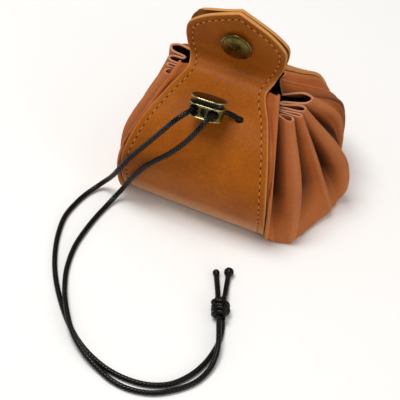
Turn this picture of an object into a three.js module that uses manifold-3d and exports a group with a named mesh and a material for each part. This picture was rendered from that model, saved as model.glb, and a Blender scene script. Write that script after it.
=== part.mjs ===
// Drawstring dice bag: one folded strip of thick leather makes the front, bottom, back and two tabs,
// and two pleated pieces of thin leather make the sides. A press stud closes the tabs, and a sprung
// lock holds the drawn cord. Millimetres, +Z up, the front faces -Y, the origin is under the bag.
import * as THREE from 'three';
import { mergeVertices } from 'three/addons/utils/BufferGeometryUtils.js';
import Module from 'manifold-3d';

const wasm = await Module();
wasm.setup();

// Leather
const PANEL_THICK = 1.8;
const SIDE_THICK = 1.1;
const SEAM_GAP = 0.7;
const SEAM_MARGIN = 4;
const EDGE_CLEAR = 1.0;
const EDGE_RISE = 0.2;
const FLOOR_CLEAR = 0.05;
const PANEL_BOW = 1.4;
const NECK_HEIGHT = 66;
const SEAM_TOP = 67.4;
const TAB_LEAN = 0.144;
const TAB_TWIST = -0.063;
const TAB_TILT = 0.041;
const TILT_HEIGHT = 66;
const LEAN_START = 62;
const LEAN_EASE = 12;
// The back leaf's left corner curls out, more and more to the left and up.
const CURL = { out: 4, left: 3, across: 18, height: 82, rise: 10 };
// The back is fuller than the front below the neck, and drawn in at it.
const BACK_SWELLS = [{ by: 2, from: 38, to: 62, power: 4 }, { by: -1.2, from: 61, to: 75, power: 0 }];

// Half of the strip, from the middle of the bottom to the top of a tab: how far its outer face lies
// from the bag's middle plane, its height there, and half its width.
const PANEL_SECTIONS = [
  { out: 0, height: 0, half: 35.4 },
  { out: 30, height: 0, half: 35.7 },
  { out: 36.2, height: 3.4, half: 36 },
  { out: 40.7, height: 12.9, half: 36.8 },
  { out: 42.2, height: 29.4, half: 36.3 },
  { out: 32.8, height: 46, half: 31.7 },
  { out: 20.3, height: 57, half: 25.4 },
  { out: 11.8, height: 66.3, half: 19.6 },
  { out: 5.2, height: 69.1, half: 21 },
  { out: 3.4, height: 75.9, half: 23.3 },
  { out: 3.3, height: 81.8, half: 24.1 },
  { out: 2.9, height: 87.1, half: 23.4 },
  { out: 2.4, height: 94.1, half: 16.3 },
  { out: 2.2, height: 102.5, half: 0.4 },
];
const PANEL_STEPS = 2;
const PANEL_COLUMNS = 6;

// Folds of a pleated side, from the front seam round to the back seam. A fold line runs from the rim
// at the mouth, over the belly, to the foot on the floor. Each place is [outwards, back, up], and
// each width is that of the round of the fold there. The right side is let out full, the left pushed in.
const RIGHT_FOLDS = [
  { fold: 'flange', rim: [25.2, -8.8, 65.4], rimWide: 1.2,
    belly: [38.3, -40, 27], bellyWide: 1.2, foot: [37.8, -36, 1.6], footWide: 1.2 },
  { fold: 'valley beside flange', rim: [24.6, -13.6, 59.4], rimWide: 1.4,
    belly: [32, -27.5, 27], bellyWide: 2.6, foot: [41.1, -34.6, 0.8], footWide: 2 },
  { fold: 'first ridge', rim: [34.8, -13.4, 58.2], rimWide: 3.4,
    belly: [47.6, -27.2, 26], bellyWide: 6, foot: [47.4, -32.6, 0.6], footWide: 4 },
  { fold: 'first valley', rim: [26.4, -12, 58.4], rimWide: 1.4,
    belly: [41.5, -19, 27], bellyWide: 2.6, foot: [50.4, -25, 0.6], footWide: 3 },
  { fold: 'small ridge', rim: [37.3, -9, 58.4], rimWide: 1.6,
    belly: [51.6, -9.6, 27], bellyWide: 4, foot: [56.6, -5, 0.6], footWide: 4 },
  { fold: 'small valley', rim: [25.8, -9.4, 58.5], rimWide: 1.4,
    belly: [46, -2.4, 28], bellyWide: 2.6, foot: [57.4, 0.8, 0.6], footWide: 3 },
  { fold: 'second ridge', rim: [37.3, -4.4, 58.8], rimWide: 3.6,
    belly: [59.4, 3.4, 27], bellyWide: 6, foot: [57.4, 7.4, 0.6], footWide: 6 },
  { fold: 'second valley', rim: [25, -6.4, 58.8], rimWide: 1.4,
    belly: [47.8, 9, 35], bellyWide: 2.8, foot: [52.8, 14, 0.6], footWide: 4 },
  { fold: 'third ridge', rim: [37.3, 3.6, 59.2], rimWide: 6.6,
    belly: [50, 14.6, 42], bellyWide: 7, foot: [46.8, 20, 0.6], footWide: 6 },
  { fold: 'third valley', rim: [24, -1.1, 59.5], rimWide: 1.6,
    belly: [45.4, 23.4, 42], bellyWide: 4, foot: [44.6, 26.6, 0.6], footWide: 4 },
  { fold: 'rear face', rim: [21.3, 3.4, 63.8], rimWide: 1.6,
    belly: [42.6, 34.2, 35], bellyWide: 4, foot: [41, 32.4, 1.2], footWide: 3 },
];
const LEFT_FOLDS = [
  { fold: 'flange', rim: [24.4, -9.4, 65.4], rimWide: 1.2,
    belly: [38.3, -40, 27], bellyWide: 1.2, foot: [37.8, -36, 1.6], footWide: 1.2 },
  { fold: 'valley beside flange', rim: [22.4, -13.4, 60.4], rimWide: 1.4,
    belly: [34.6, -31, 27], bellyWide: 2.4, foot: [38.2, -34.2, 0.6], footWide: 2 },
  { fold: 'first ridge', rim: [30, -13, 60.2], rimWide: 3.8,
    belly: [41.8, -29, 30], bellyWide: 5, foot: [39, -30.6, 0.6], footWide: 4 },
  { fold: 'first valley', rim: [25, -10.2, 60.4], rimWide: 1.4,
    belly: [37.6, -20.6, 29], bellyWide: 2.6, foot: [38.8, -23.6, 0.6], footWide: 3 },
  { fold: 'small ridge', rim: [30.8, -8.7, 60.8], rimWide: 1.8,
    belly: [42, -12.4, 30], bellyWide: 4, foot: [39.6, -11, 0.6], footWide: 5 },
  { fold: 'small valley', rim: [24.8, -7.2, 61], rimWide: 1.4,
    belly: [37.6, -4, 30], bellyWide: 2.6, foot: [39, -2, 0.6], footWide: 3 },
  { fold: 'second ridge', rim: [31.8, -4.7, 61.4], rimWide: 3.6,
    belly: [41.7, 3.4, 30], bellyWide: 5, foot: [39.8, 6, 0.6], footWide: 6 },
  { fold: 'second valley', rim: [24.6, -2.2, 61.8], rimWide: 1.4,
    belly: [37, 9, 34], bellyWide: 2.8, foot: [38.8, 14, 0.6], footWide: 4 },
  { fold: 'third ridge', rim: [34, 2.2, 62.4], rimWide: 5.6,
    belly: [39, 13.4, 44], bellyWide: 6, foot: [39.2, 20.6, 0.6], footWide: 6 },
  { fold: 'third valley', rim: [23.4, 3.4, 62.6], rimWide: 1.8,
    belly: [36.6, 22, 42], bellyWide: 4, foot: [38.6, 27.6, 0.6], footWide: 4 },
  { fold: 'rear face', rim: [21.6, 8, 64.4], rimWide: 2,
    belly: [38.6, 34.2, 34], bellyWide: 3, foot: [38, 32.6, 1.2], footWide: 3 },
];
const RIDGE_STEPS = 2;
// Rows of a side between its five levels: margin, panel edge, foot, belly and rim.
const SIDE_ROWS = [0, 0.15, 0.25, 0.37, 0.5, 0.58, 0.66, 0.75, 0.82, 0.88, 0.94, 1];
const SIDE_LEVELS = 4;
// Where the front and back seams are at those levels, as a share of the strip from bottom to neck.
const SEAM_SHARES = [0.0, 0.045, 0.12, 0.45, 1];
const SIDES = [
  { name: 'gusset_right', sign: 1, folds: RIGHT_FOLDS },
  { name: 'gusset_left', sign: -1, folds: LEFT_FOLDS },
];

// Press stud, turned about its own axis: how far along the axis (backwards from between the tabs) each
// edge of a profile lies, and its radius.
const SNAP_ACROSS = 0.7;
const SNAP_HEIGHT = 84;
const POST_HOLE = 2.15;
const POST_HOLE_REACH = 6;
const SNAP_SIDES = 16;
const CAP_PROFILE = [
  { radius: 0, along: -5.9 }, { radius: 2.8, along: -5.75 }, { radius: 5.2, along: -5.3 },
  { radius: 6.8, along: -4.95 }, { radius: 7.5, along: -4.5 }, { radius: 7.3, along: -4.25 },
  { radius: 4.6, along: -3.8 }, { radius: 1.8, along: -3.8 }, { radius: 1.8, along: -1.35 },
  { radius: 0, along: -1.35 },
];
const SOCKET_PROFILE = [
  { radius: 2.3, along: -0.95 }, { radius: 4.6, along: -0.95 }, { radius: 4.6, along: 0.1 },
  { radius: 2.3, along: 0.1 }, { radius: 2.3, along: -0.95 },
];
const STUD_PROFILE = [
  { radius: 0, along: -1.05 }, { radius: 1.9, along: -1.05 }, { radius: 1.9, along: 0.4 },
  { radius: 4.2, along: 0.4 }, { radius: 4.2, along: 0.95 }, { radius: 1.8, along: 0.95 },
  { radius: 1.8, along: 3.65 }, { radius: 4.6, along: 3.65 }, { radius: 4.2, along: 4.3 },
  { radius: 0, along: 4.6 },
];

// Cord lock: an oval drum with two bores, and a sprung button whose stem has bores of its own
const LOCK_AT = [-1.1, -31.5, 58.3];
const FACE_TILT = 41.2;
const LOCK_YAW = 2;
const LOCK_STAND = 69;
const LOCK_LONG = 17.2;
const LOCK_DEEP = 11.2;
const LOCK_CORNER = 5.5;
const DRUM_HEIGHT = 6.6;
const DRUM_WALL = 1.2;
const DRUM_FLOOR = 0.6;
const BORE_ACROSS = 4.6;
const DRUM_BORE = 2.6;
const DRUM_BORE_UP = 3.3;
const WINDOW_WIDE = 2.3;
const WINDOW_HIGH = 3.8;
const STEM_LONG = 14.3;
const STEM_DEEP = 6;
const STEM_CORNER = 2.9;
const STEM_CLEAR = 0.15;
const STEM_BORE = 2;
const STEM_LIFT = 0.78;
const BUTTON_TRAVEL = 1.0;
const GROOVE = 2.3;
const BUTTON_THICK = 0.9;
const BUTTON_ROUND = 0.25;
const BORE_SIDES = 12;
const OVAL_SEGMENTS = 3;

// Cord, drawn through the bag, and its two free strands
const CORD_RADIUS = 1.25;
const CORD_SIDES = 8;
const PLEAT_CLEAR = 0.5;
const HOLE_CLEAR = 0.6;
const HOLE_REACH = 9;
const KNOT_CLEAR = 0.3;
const DRAWN_STEPS = 44;
const STRAND_STEPS = 37;
const TAIL_STEPS = 3;
// From the right bore's back round the neck, inside the sides and outside the back, to the left bore
const DRAWN_ROUTE = [
  { at: [3.38, -29.5, 61.54] }, { at: [3.6, -27.03, 60.23] }, { at: [4.5, -25.3, 59.3] },
  { at: [6.5, -23.75, 58.4] }, { at: [9.2, -23.1, 57.5] }, { at: [11.6, -22.95, 56.55] },
  { at: [13.3, -21.7, 55.2], hole: true }, { at: [15.3, -19.7, 54.2] }, { at: [18.4, -17, 53.6] },
  { at: [22.5, -14.2, 53.3] }, { at: [29.2, -10.2, 52.5] }, { at: [32.5, -3.5, 52.3] },
  { at: [32.5, 3.5, 52.3] }, { at: [29.2, 10.3, 52.7] }, { at: [22.5, 15.7, 54.3] },
  { at: [17.4, 18.5, 55] }, { at: [14.6, 21.2, 56.45], hole: true }, { at: [12.2, 23.43, 57.06] },
  { at: [7.5, 24.78, 55.88] }, { at: [0, 25.6, 55.3] }, { at: [-7.5, 24.78, 55.88] },
  { at: [-12.2, 23.43, 57.06] },
  { at: [-14.6, 21.2, 56.45], hole: true }, { at: [-17.4, 18.5, 55] }, { at: [-21.5, 15.7, 54.3] },
  { at: [-26.2, 10.3, 52.7] }, { at: [-29, 3.5, 52.3] }, { at: [-29, -3.5, 52.3] },
  { at: [-25.6, -10.4, 52.5] }, { at: [-19.2, -14.4, 53.4] }, { at: [-13.2, -17.4, 54.8] },
  { at: [-9.9, -20.6, 56], hole: true }, { at: [-7.8, -23.6, 57.7] }, { at: [-6.2, -26.6, 59.7] },
  { at: [-5.81, -29.74, 61.33] },
];
// Out of a bore, down over the belly of the bag, and along the floor into the knot
const LEFT_ROUTE = [
  [-5.81, -30.1, 61.51], [-5.9, -34.1, 63.8], [-6.8, -37.9, 64.6], [-8.6, -41.2, 63.9],
  [-10.8, -43.5, 61.9], [-15, -44, 55.5], [-19.4, -44.1, 48.5], [-23.9, -44.1, 41.4],
  [-28.5, -44.2, 34.2], [-32.4, -44.7, 28], [-36.1, -44.8, 20.9], [-39.7, -43.4, 13.6], [-43, -41.8, 7.9],
  [-45.9, -42.3, 4.2], [-48.4, -45.2, 2.1], [-50.4, -49.8, 1.38], [-51.8, -56, 1.3], [-52.6, -67.4, 1.3],
  [-50.1, -79, 1.3], [-45.2, -91.5, 1.3], [-38.6, -103.1, 1.3], [-29.9, -114.4, 1.3], [-20.8, -124, 1.3],
  [-11.4, -131.5, 1.3], [-2.8, -136, 1.3], [6.3, -138.9, 1.3], [16.1, -139.7, 1.3], [25.3, -138.1, 1.3],
  [33.3, -133.5, 1.3], [38.8, -125.8, 1.3], [41.8, -117.3, 1.3], [42.8, -109, 1.3], [42.5, -101.6, 1.4],
  [40.6, -94.6, 1.9], [38.9, -90.6, 2.4],
];
const RIGHT_ROUTE = [
  [3.38, -29.86, 61.72], [3.45, -33.8, 63.95], [3.3, -37.4, 64.9], [2.3, -40.8, 64.2], [0.9, -43, 61.7],
  [-2.6, -43.4, 55], [-6.7, -43.8, 48.4], [-11.5, -44.2, 41.8], [-17, -44.6, 35.6], [-23, -45.2, 28.6],
  [-27.8, -45.2, 20.8], [-31.6, -44, 13.4], [-34.2, -43.9, 7.8], [-36.2, -45.8, 4.2], [-37.7, -49.4, 2.2],
  [-38.6, -54, 1.42], [-39.4, -60, 1.3], [-40, -70, 1.3], [-39.6, -82.6, 1.3], [-36.6, -95.9, 1.36],
  [-32.6, -105.4, 1.9], [-28.1, -113.7, 3.5], [-22.9, -121.4, 4.3], [-17.5, -128.1, 4.2],
  [-12.3, -132.8, 3.8], [-5.2, -137.5, 3], [2.1, -140.7, 2], [11.1, -143.6, 1.4], [19.8, -143.9, 1.3],
  [28.8, -141.2, 1.3], [36.4, -135.5, 1.3], [42.5, -127.8, 1.36], [45.2, -119.4, 1.8], [45.2, -112.5, 3],
  [43.9, -107, 4.1], [41.9, -101.8, 4.5], [39.6, -96.6, 4.4], [37.4, -91.6, 4.5],
];
// The knot is two lumps side by side, and each tail ends in a burnt bead.
const KNOT_LUMPS = [
  { at: [37.4, -89.8, 3.56], radii: [4.3, 4.3, 3.7] },
  { at: [34.3, -84.0, 3.56], radii: [4.7, 4.7, 3.7] },
];
const TAILS = [
  { name: 'cord_tail_left', route: [[33.4, -83.4, 2.4], [31.2, -78.4, 1.7], [28.9, -73.8, 1.5],
    [25.6, -67.6, 1.7]], bead: [24.8, -66.2, 1.75], beadRadius: 1.7 },
  { name: 'cord_tail_right', route: [[35.4, -81.8, 4.2], [34.2, -77.0, 2.6], [32.6, -71.8, 1.8],
    [30.6, -64.8, 2.3]], bead: [30.2, -63.8, 2.4], beadRadius: 2.35 },
];
const LUMP_SIDES = 10;
const LUMP_RINGS = 6;
const BEAD_SIDES = 8;
const BEAD_RINGS = 6;

// Colours and finishes
const TAN_LEATHER = new THREE.MeshStandardMaterial({ color: 0x9a5516, roughness: 0.55, metalness: 0 });
const SIDE_LEATHER = new THREE.MeshStandardMaterial({ color: 0xa85f3c, roughness: 0.8, metalness: 0 });
const OLD_BRASS = new THREE.MeshStandardMaterial({ color: 0x8a6d33, roughness: 0.35, metalness: 1 });
const DARK_BRASS = new THREE.MeshStandardMaterial({ color: 0x4a3524, roughness: 0.3, metalness: 1 });
const WAXED_CORD = new THREE.MeshStandardMaterial({ color: 0x15110f, roughness: 0.5, metalness: 0 });

const clamp01 = (value) => Math.min(1, Math.max(0, value));

// A closed solid from a BufferGeometry, ready to be joined and cut
function toSolid(geometry) {
  const bare = geometry.index ? geometry.toNonIndexed() : geometry.clone();
  bare.deleteAttribute('normal');
  bare.deleteAttribute('uv');
  const merged = mergeVertices(bare, 1e-4);
  return new wasm.Manifold(new wasm.Mesh({
    numProp: 3,
    vertProperties: new Float32Array(merged.attributes.position.array),
    triVerts: new Uint32Array(merged.index.array),
  }));
}

function toGeometry(solid) {
  const mesh = solid.getMesh();
  const geometry = new THREE.BufferGeometry();
  geometry.setAttribute('position', new THREE.BufferAttribute(new Float32Array(mesh.vertProperties), 3));
  geometry.setIndex(new THREE.BufferAttribute(new Uint32Array(mesh.triVerts), 1));
  geometry.computeVertexNormals();
  return geometry;
}

// A wall of leather: a grid of points on its middle surface, given half the thickness on each side.
// Its outer side is where the columns run to the right as the rows run up.
function leatherWall(rows, thickness) {
  const rowCount = rows.length;
  const columnCount = rows[0].length;
  const at = (i, j) => rows[THREE.MathUtils.clamp(i, 0, rowCount - 1)][
    THREE.MathUtils.clamp(j, 0, columnCount - 1)];
  const positions = [];
  for (const side of [0.5, -0.5]) {
    for (let i = 0; i < rowCount; i += 1) {
      for (let j = 0; j < columnCount; j += 1) {
        const along = at(i, j + 1).clone().sub(at(i, j - 1));
        const up = at(i + 1, j).clone().sub(at(i - 1, j));
        const normal = along.cross(up).normalize();
        const point = at(i, j).clone().addScaledVector(normal, side * thickness);
        positions.push(point.x, point.y, point.z);
      }
    }
  }
  const outer = (i, j) => i * columnCount + j;
  const inner = (i, j) => outer(i, j) + rowCount * columnCount;
  const faces = [];
  const quad = (a, b, c, d) => faces.push(a, b, c, a, c, d);
  for (let i = 0; i + 1 < rowCount; i += 1) {
    for (let j = 0; j + 1 < columnCount; j += 1) {
      quad(outer(i, j), outer(i, j + 1), outer(i + 1, j + 1), outer(i + 1, j));
      quad(inner(i, j), inner(i + 1, j), inner(i + 1, j + 1), inner(i, j + 1));
    }
  }
  const lastRow = rowCount - 1;
  const lastColumn = columnCount - 1;
  for (let j = 0; j < lastColumn; j += 1) {
    quad(inner(0, j), inner(0, j + 1), outer(0, j + 1), outer(0, j));
    quad(outer(lastRow, j), outer(lastRow, j + 1), inner(lastRow, j + 1), inner(lastRow, j));
  }
  for (let i = 0; i < lastRow; i += 1) {
    quad(inner(i + 1, 0), inner(i, 0), outer(i, 0), outer(i + 1, 0));
    quad(inner(i, lastColumn), inner(i + 1, lastColumn), outer(i + 1, lastColumn), outer(i, lastColumn));
  }
  const geometry = new THREE.BufferGeometry();
  geometry.setAttribute('position', new THREE.Float32BufferAttribute(positions, 3));
  geometry.setIndex(faces);
  return geometry;
}

// The strip's side view: x holds the distance out, y the height and z the half width.
const stripCurve = new THREE.CatmullRomCurve3(
  PANEL_SECTIONS.map((row) => new THREE.Vector3(row.out, row.height, row.half)), false, 'centripetal');
const stripSpans = PANEL_SECTIONS.length - 1;

function stripAt(share) {
  const place = stripCurve.getPoint(share);
  place.y = Math.max(0, place.y);
  return place;
}

// Above the neck both tabs lean forwards together, and turn and tilt a little.
function settle(point) {
  const rise = Math.max(0, point.z - LEAN_START);
  const ease = clamp01(rise / LEAN_EASE);
  const turn = TAB_TWIST * ease;
  const x = point.x * Math.cos(turn) + point.y * Math.sin(turn);
  const y = point.y * Math.cos(turn) - point.x * Math.sin(turn);
  const tilt = TAB_TILT * ease;
  const up = point.z - TILT_HEIGHT;
  return new THREE.Vector3(
    x * Math.cos(tilt) + up * Math.sin(tilt),
    y - TAB_LEAN * rise * ease,
    TILT_HEIGHT + up * Math.cos(tilt) - x * Math.sin(tilt));
}

// A point of the strip: share runs from the bottom's middle to a tab's top, across from -1 to 1,
// face is -1 for the front half and 1 for the back half, and depth is measured in from the outer face.
function stripPoint(share, across, face, depth) {
  const place = stripAt(share);
  const step = 1e-3;
  const before = stripAt(Math.max(0, share - step));
  const after = stripAt(Math.min(1, share + step));
  const slope = new THREE.Vector2(after.x - before.x, after.y - before.y).normalize();
  const rise = clamp01(place.y / NECK_HEIGHT);
  const x = across * place.z;
  let off = PANEL_BOW * Math.sin(Math.PI * rise) * (1 - across * across) - depth;
  let curl = 0;
  if (face > 0) {
    for (const swell of BACK_SWELLS) {
      const level = Math.sin(Math.PI * clamp01((place.y - swell.from) / (swell.to - swell.from)));
      off += swell.by * level * Math.abs(across) ** swell.power;
    }
    const left = clamp01((-x - CURL.left) / CURL.across);
    curl = CURL.out * left * left * clamp01((place.y - CURL.height) / CURL.rise);
  }
  return settle(new THREE.Vector3(x, face * (place.x + off * slope.y) + curl, place.y - off * slope.x));
}

function panelSolid() {
  const shares = [];
  const steps = stripSpans * PANEL_STEPS;
  for (let k = steps; k >= -steps; k -= 1) {
    shares.push(k / steps);
  }
  const rows = shares.map((share) => {
    const row = [];
    for (let j = 0; j <= PANEL_COLUMNS; j += 1) {
      const across = (2 * j) / PANEL_COLUMNS - 1;
      const face = share > 0 ? -1 : 1;
      row.push(stripPoint(Math.abs(share), across, face, PANEL_THICK / 2));
    }
    return row;
  });
  return toSolid(leatherWall(rows.reverse(), PANEL_THICK));
}

// Where along the strip it reaches a height
function shareAtHeight(height) {
  let low = 2 / stripSpans;
  let high = 1;
  for (let k = 0; k < 40; k += 1) {
    const middle = (low + high) / 2;
    if (stripAt(middle).y < height) {
      low = middle;
    } else {
      high = middle;
    }
  }
  return low;
}
const frontTop = shareAtHeight(SEAM_TOP);
const backTop = shareAtHeight(NECK_HEIGHT);
const bottomShare = 1 / stripSpans;

// A value between listed levels
function between(list, place) {
  const k = Math.min(list.length - 2, Math.floor(place));
  return THREE.MathUtils.lerp(list[k], list[k + 1], place - k);
}

// The two lines of a side that follow the strip's edge: the margin behind it and the edge itself
function seamPoints(level, face) {
  const top = face < 0 ? frontTop : backTop;
  const share = THREE.MathUtils.lerp(bottomShare, top, between(SEAM_SHARES, level));
  const half = stripAt(share).z;
  const behind = PANEL_THICK + SEAM_GAP + SIDE_THICK / 2;
  const margin = stripPoint(share, 1 - SEAM_MARGIN / half, face, behind);
  const edge = stripPoint(share, 1 + EDGE_CLEAR / half, face, behind - EDGE_RISE);
  return [margin, edge];
}

// Three places on the round of each fold at one level: before its tip, its tip and after it
function roundTips(tips, widths) {
  return tips.flatMap((tip, k) => {
    const onward = new THREE.Vector3(0, 1, 0);
    const way = new THREE.Vector3(1, 0, 0);
    if (k > 0 && k + 1 < tips.length) {
      onward.subVectors(tips[k + 1], tips[k - 1]).setZ(0);
      const middle = tips[k + 1].clone().add(tips[k - 1]).multiplyScalar(0.5);
      const lead = tip.clone().sub(middle).setZ(0);
      const square = new THREE.Vector3(onward.y, -onward.x, 0);
      if (square.dot(lead) < 0) {
        square.negate();
      }
      way.copy(lead).multiplyScalar(lead.length()).addScaledVector(square, square.length() / 4).normalize();
    }
    const across = new THREE.Vector3(-way.y, way.x, 0);
    if (across.dot(onward) < 0) {
      across.negate();
    }
    const half = widths[k] / 2;
    const back = tip.clone().addScaledVector(way, -half);
    return [back.clone().addScaledVector(across, -half), tip, back.clone().addScaledVector(across, half)];
  });
}

function sideSolid(side) {
  const seamHalf = PANEL_SECTIONS[1].half;
  const seamShare = PANEL_SECTIONS[1].out / (PANEL_SECTIONS[2].out + 1);
  const floorHeight = PANEL_THICK + SEAM_GAP + SIDE_THICK / 2;
  const atLevel = (place, wide) => roundTips(
    side.folds.map((row) => new THREE.Vector3(...row[place])), side.folds.map((row) => row[wide]));
  const rims = atLevel('rim', 'rimWide');
  const bellies = atLevel('belly', 'bellyWide');
  const feet = atLevel('foot', 'footWide');
  const footYs = side.folds.flatMap((row) => [-1, 0, 1].map((way) => row.foot[1] + (way * row.footWide) / 4));
  const lines = feet.map((foot, k) => {
    foot.z = Math.max(foot.z, SIDE_THICK / 2 + FLOOR_CLEAR);
    const seamY = footYs[k] * seamShare;
    const edge = new THREE.Vector3(seamHalf + EDGE_CLEAR, seamY, floorHeight - EDGE_RISE);
    const margin = new THREE.Vector3(seamHalf - SEAM_MARGIN, seamY, floorHeight);
    return new THREE.CatmullRomCurve3([margin, edge, foot, bellies[k], rims[k]], false, 'centripetal');
  });
  const rows = SIDE_ROWS.map((share) => {
    const level = share * SIDE_LEVELS;
    const front = seamPoints(level, -1);
    const back = seamPoints(level, 1);
    const controls = [...front, ...lines.map((line) => line.getPoint(share)), back[1], back[0]];
    const curve = new THREE.CatmullRomCurve3(controls, false, 'centripetal');
    const points = [];
    const spans = controls.length - 1;
    for (let k = 0; k < spans; k += 1) {
      const row = side.folds[Math.floor((k - 2) / 3)];
      const isRound = (k - 2) % 3 < 2 && row?.fold.endsWith('ridge');
      const steps = isRound ? RIDGE_STEPS : 1;
      for (let m = 0; m < steps; m += 1) {
        points.push(curve.getPoint((k + m / steps) / spans));
      }
    }
    points.push(curve.getPoint(1));
    for (const point of points) {
      point.z = Math.max(point.z, SIDE_THICK / 2 + FLOOR_CLEAR);
    }
    return side.sign > 0 ? points : points.map((p) => new THREE.Vector3(-p.x, p.y, p.z)).reverse();
  });
  return toSolid(leatherWall(rows, SIDE_THICK));
}

// A turned piece; its axis is Y.
function turned(profile) {
  const points = profile.map((row) => new THREE.Vector2(row.radius, row.along));
  return new THREE.LatheGeometry(points, SNAP_SIDES);
}

function ovalShape(long, deep, corner) {
  const x = long / 2 - corner;
  const y = deep / 2 - corner;
  const shape = new THREE.Shape();
  shape.absarc(x, y, corner, 0, Math.PI / 2);
  shape.absarc(-x, y, corner, Math.PI / 2, Math.PI);
  shape.absarc(-x, -y, corner, Math.PI, 1.5 * Math.PI);
  shape.absarc(x, -y, corner, 1.5 * Math.PI, 2 * Math.PI);
  return shape;
}

// An upright block of an outline
function uprightBlock(shape, bottom, top) {
  const block = new THREE.ExtrudeGeometry(shape, {
    depth: top - bottom, bevelEnabled: false, curveSegments: OVAL_SEGMENTS });
  return toSolid(block.translate(0, 0, bottom));
}

// The bores run from the front to the back of the lock.
function boreCutter(x, z, radius) {
  const cutter = new THREE.CylinderGeometry(radius, radius, 2 * LOCK_DEEP, BORE_SIDES);
  return toSolid(cutter.translate(x, 0, z));
}

function drumSolid() {
  const hollow = ovalShape(LOCK_LONG - 2 * DRUM_WALL, LOCK_DEEP - 2 * DRUM_WALL, LOCK_CORNER - DRUM_WALL);
  let drum = uprightBlock(ovalShape(LOCK_LONG, LOCK_DEEP, LOCK_CORNER), 0, DRUM_HEIGHT);
  drum = drum.subtract(uprightBlock(hollow, DRUM_FLOOR, DRUM_HEIGHT + DRUM_FLOOR));
  for (const x of [-BORE_ACROSS, BORE_ACROSS]) {
    drum = drum.subtract(boreCutter(x, DRUM_BORE_UP, DRUM_BORE));
  }
  const window = new THREE.BoxGeometry(WINDOW_WIDE, LOCK_DEEP / 2, WINDOW_HIGH);
  return drum.subtract(toSolid(window.translate(0, -LOCK_DEEP / 2, DRUM_BORE_UP)));
}

function buttonSolid() {
  const capBottom = DRUM_HEIGHT + GROOVE;
  const stemBottom = DRUM_FLOOR + STEM_CLEAR + BUTTON_TRAVEL;
  const outline = ovalShape(STEM_LONG, STEM_DEEP, STEM_CORNER);
  let stem = uprightBlock(outline, stemBottom, capBottom + BUTTON_THICK / 2);
  for (const x of [-BORE_ACROSS, BORE_ACROSS]) {
    stem = stem.subtract(boreCutter(x, DRUM_BORE_UP + STEM_LIFT, STEM_BORE));
  }
  const cap = new THREE.ExtrudeGeometry(ovalShape(LOCK_LONG, LOCK_DEEP, LOCK_CORNER), {
    depth: BUTTON_THICK - 2 * BUTTON_ROUND, bevelEnabled: true, bevelSize: BUTTON_ROUND,
    bevelThickness: BUTTON_ROUND, bevelOffset: -BUTTON_ROUND, bevelSegments: 1,
    curveSegments: OVAL_SEGMENTS });
  return stem.add(toSolid(cap.translate(0, 0, capBottom + BUTTON_ROUND)));
}

function cordTube(route, radius, steps) {
  const path = new THREE.CatmullRomCurve3(
    route.map((place) => new THREE.Vector3(...place)), false, 'centripetal');
  const section = new THREE.Shape();
  for (let k = 0; k < CORD_SIDES; k += 1) {
    const turn = (2 * Math.PI * (k + 0.5)) / CORD_SIDES;
    const draw = k === 0 ? 'moveTo' : 'lineTo';
    section[draw](radius * Math.cos(turn), radius * Math.sin(turn));
  }
  return new THREE.ExtrudeGeometry(section, { steps, extrudePath: path, bevelEnabled: false });
}

// A route with its last place moved on by extra
function lengthened(route, extra) {
  const end = new THREE.Vector3(...route.at(-1));
  const last = end.clone().sub(new THREE.Vector3(...route.at(-2))).setLength(extra);
  return [...route.slice(0, -1), end.add(last).toArray()];
}

function lump(at, radii, sides, rings) {
  return toSolid(new THREE.SphereGeometry(1, sides, rings).scale(...radii).translate(...at));
}

// The socket in the knot that the end of a route goes into
function cordSocket(route, steps) {
  return toSolid(cordTube(lengthened(route, KNOT_CLEAR), CORD_RADIUS + KNOT_CLEAR, steps));
}

// A hole through the panel, along the cord that passes through it
function cordHole(index) {
  const [before, here, after] = [-1, 0, 1].map((k) => new THREE.Vector3(...DRAWN_ROUTE[index + k].at));
  const radius = CORD_RADIUS + HOLE_CLEAR;
  const cutter = new THREE.CylinderGeometry(radius, radius, HOLE_REACH, BORE_SIDES);
  const along = after.sub(before).normalize();
  cutter.applyQuaternion(new THREE.Quaternion().setFromUnitVectors(new THREE.Vector3(0, 1, 0), along));
  return toSolid(cutter.translate(here.x, here.y, here.z));
}

const bag = new THREE.Group();

function addNode(name, geometry, material, parent = bag) {
  const mesh = new THREE.Mesh(geometry, material);
  mesh.name = name;
  parent.add(mesh);
  return mesh;
}

// The stud stands square to the leaning tabs.
const snapPlace = settle(new THREE.Vector3(SNAP_ACROSS, 0, SNAP_HEIGHT));
const snapRight = settle(new THREE.Vector3(SNAP_ACROSS + 1, 0, SNAP_HEIGHT)).sub(snapPlace).normalize();
const snapUp = settle(new THREE.Vector3(SNAP_ACROSS, 0, SNAP_HEIGHT + 1)).sub(snapPlace).normalize();
const snapBack = snapUp.clone().cross(snapRight).normalize();
const snapBasis = new THREE.Matrix4().makeBasis(snapRight, snapBack, snapRight.clone().cross(snapBack));
const snap = new THREE.Group();
snap.position.copy(snapPlace);
snap.quaternion.setFromRotationMatrix(snapBasis);
bag.add(snap);
addNode('snap_cap', turned(CAP_PROFILE), OLD_BRASS, snap);
addNode('snap_socket', turned(SOCKET_PROFILE), OLD_BRASS, snap);
addNode('snap_stud', turned(STUD_PROFILE), OLD_BRASS, snap);
bag.updateMatrixWorld(true);

// The panel, with holes for the stud's posts and the cord
const postHole = new THREE.CylinderGeometry(POST_HOLE, POST_HOLE, 2 * POST_HOLE_REACH, BORE_SIDES);
let panel = panelSolid().subtract(toSolid(postHole.applyMatrix4(snap.matrixWorld)));
DRAWN_ROUTE.forEach((row, index) => {
  if (row.hole) {
    panel = panel.subtract(cordHole(index));
  }
});
addNode('outer_panel', toGeometry(panel), TAN_LEATHER);

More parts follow.
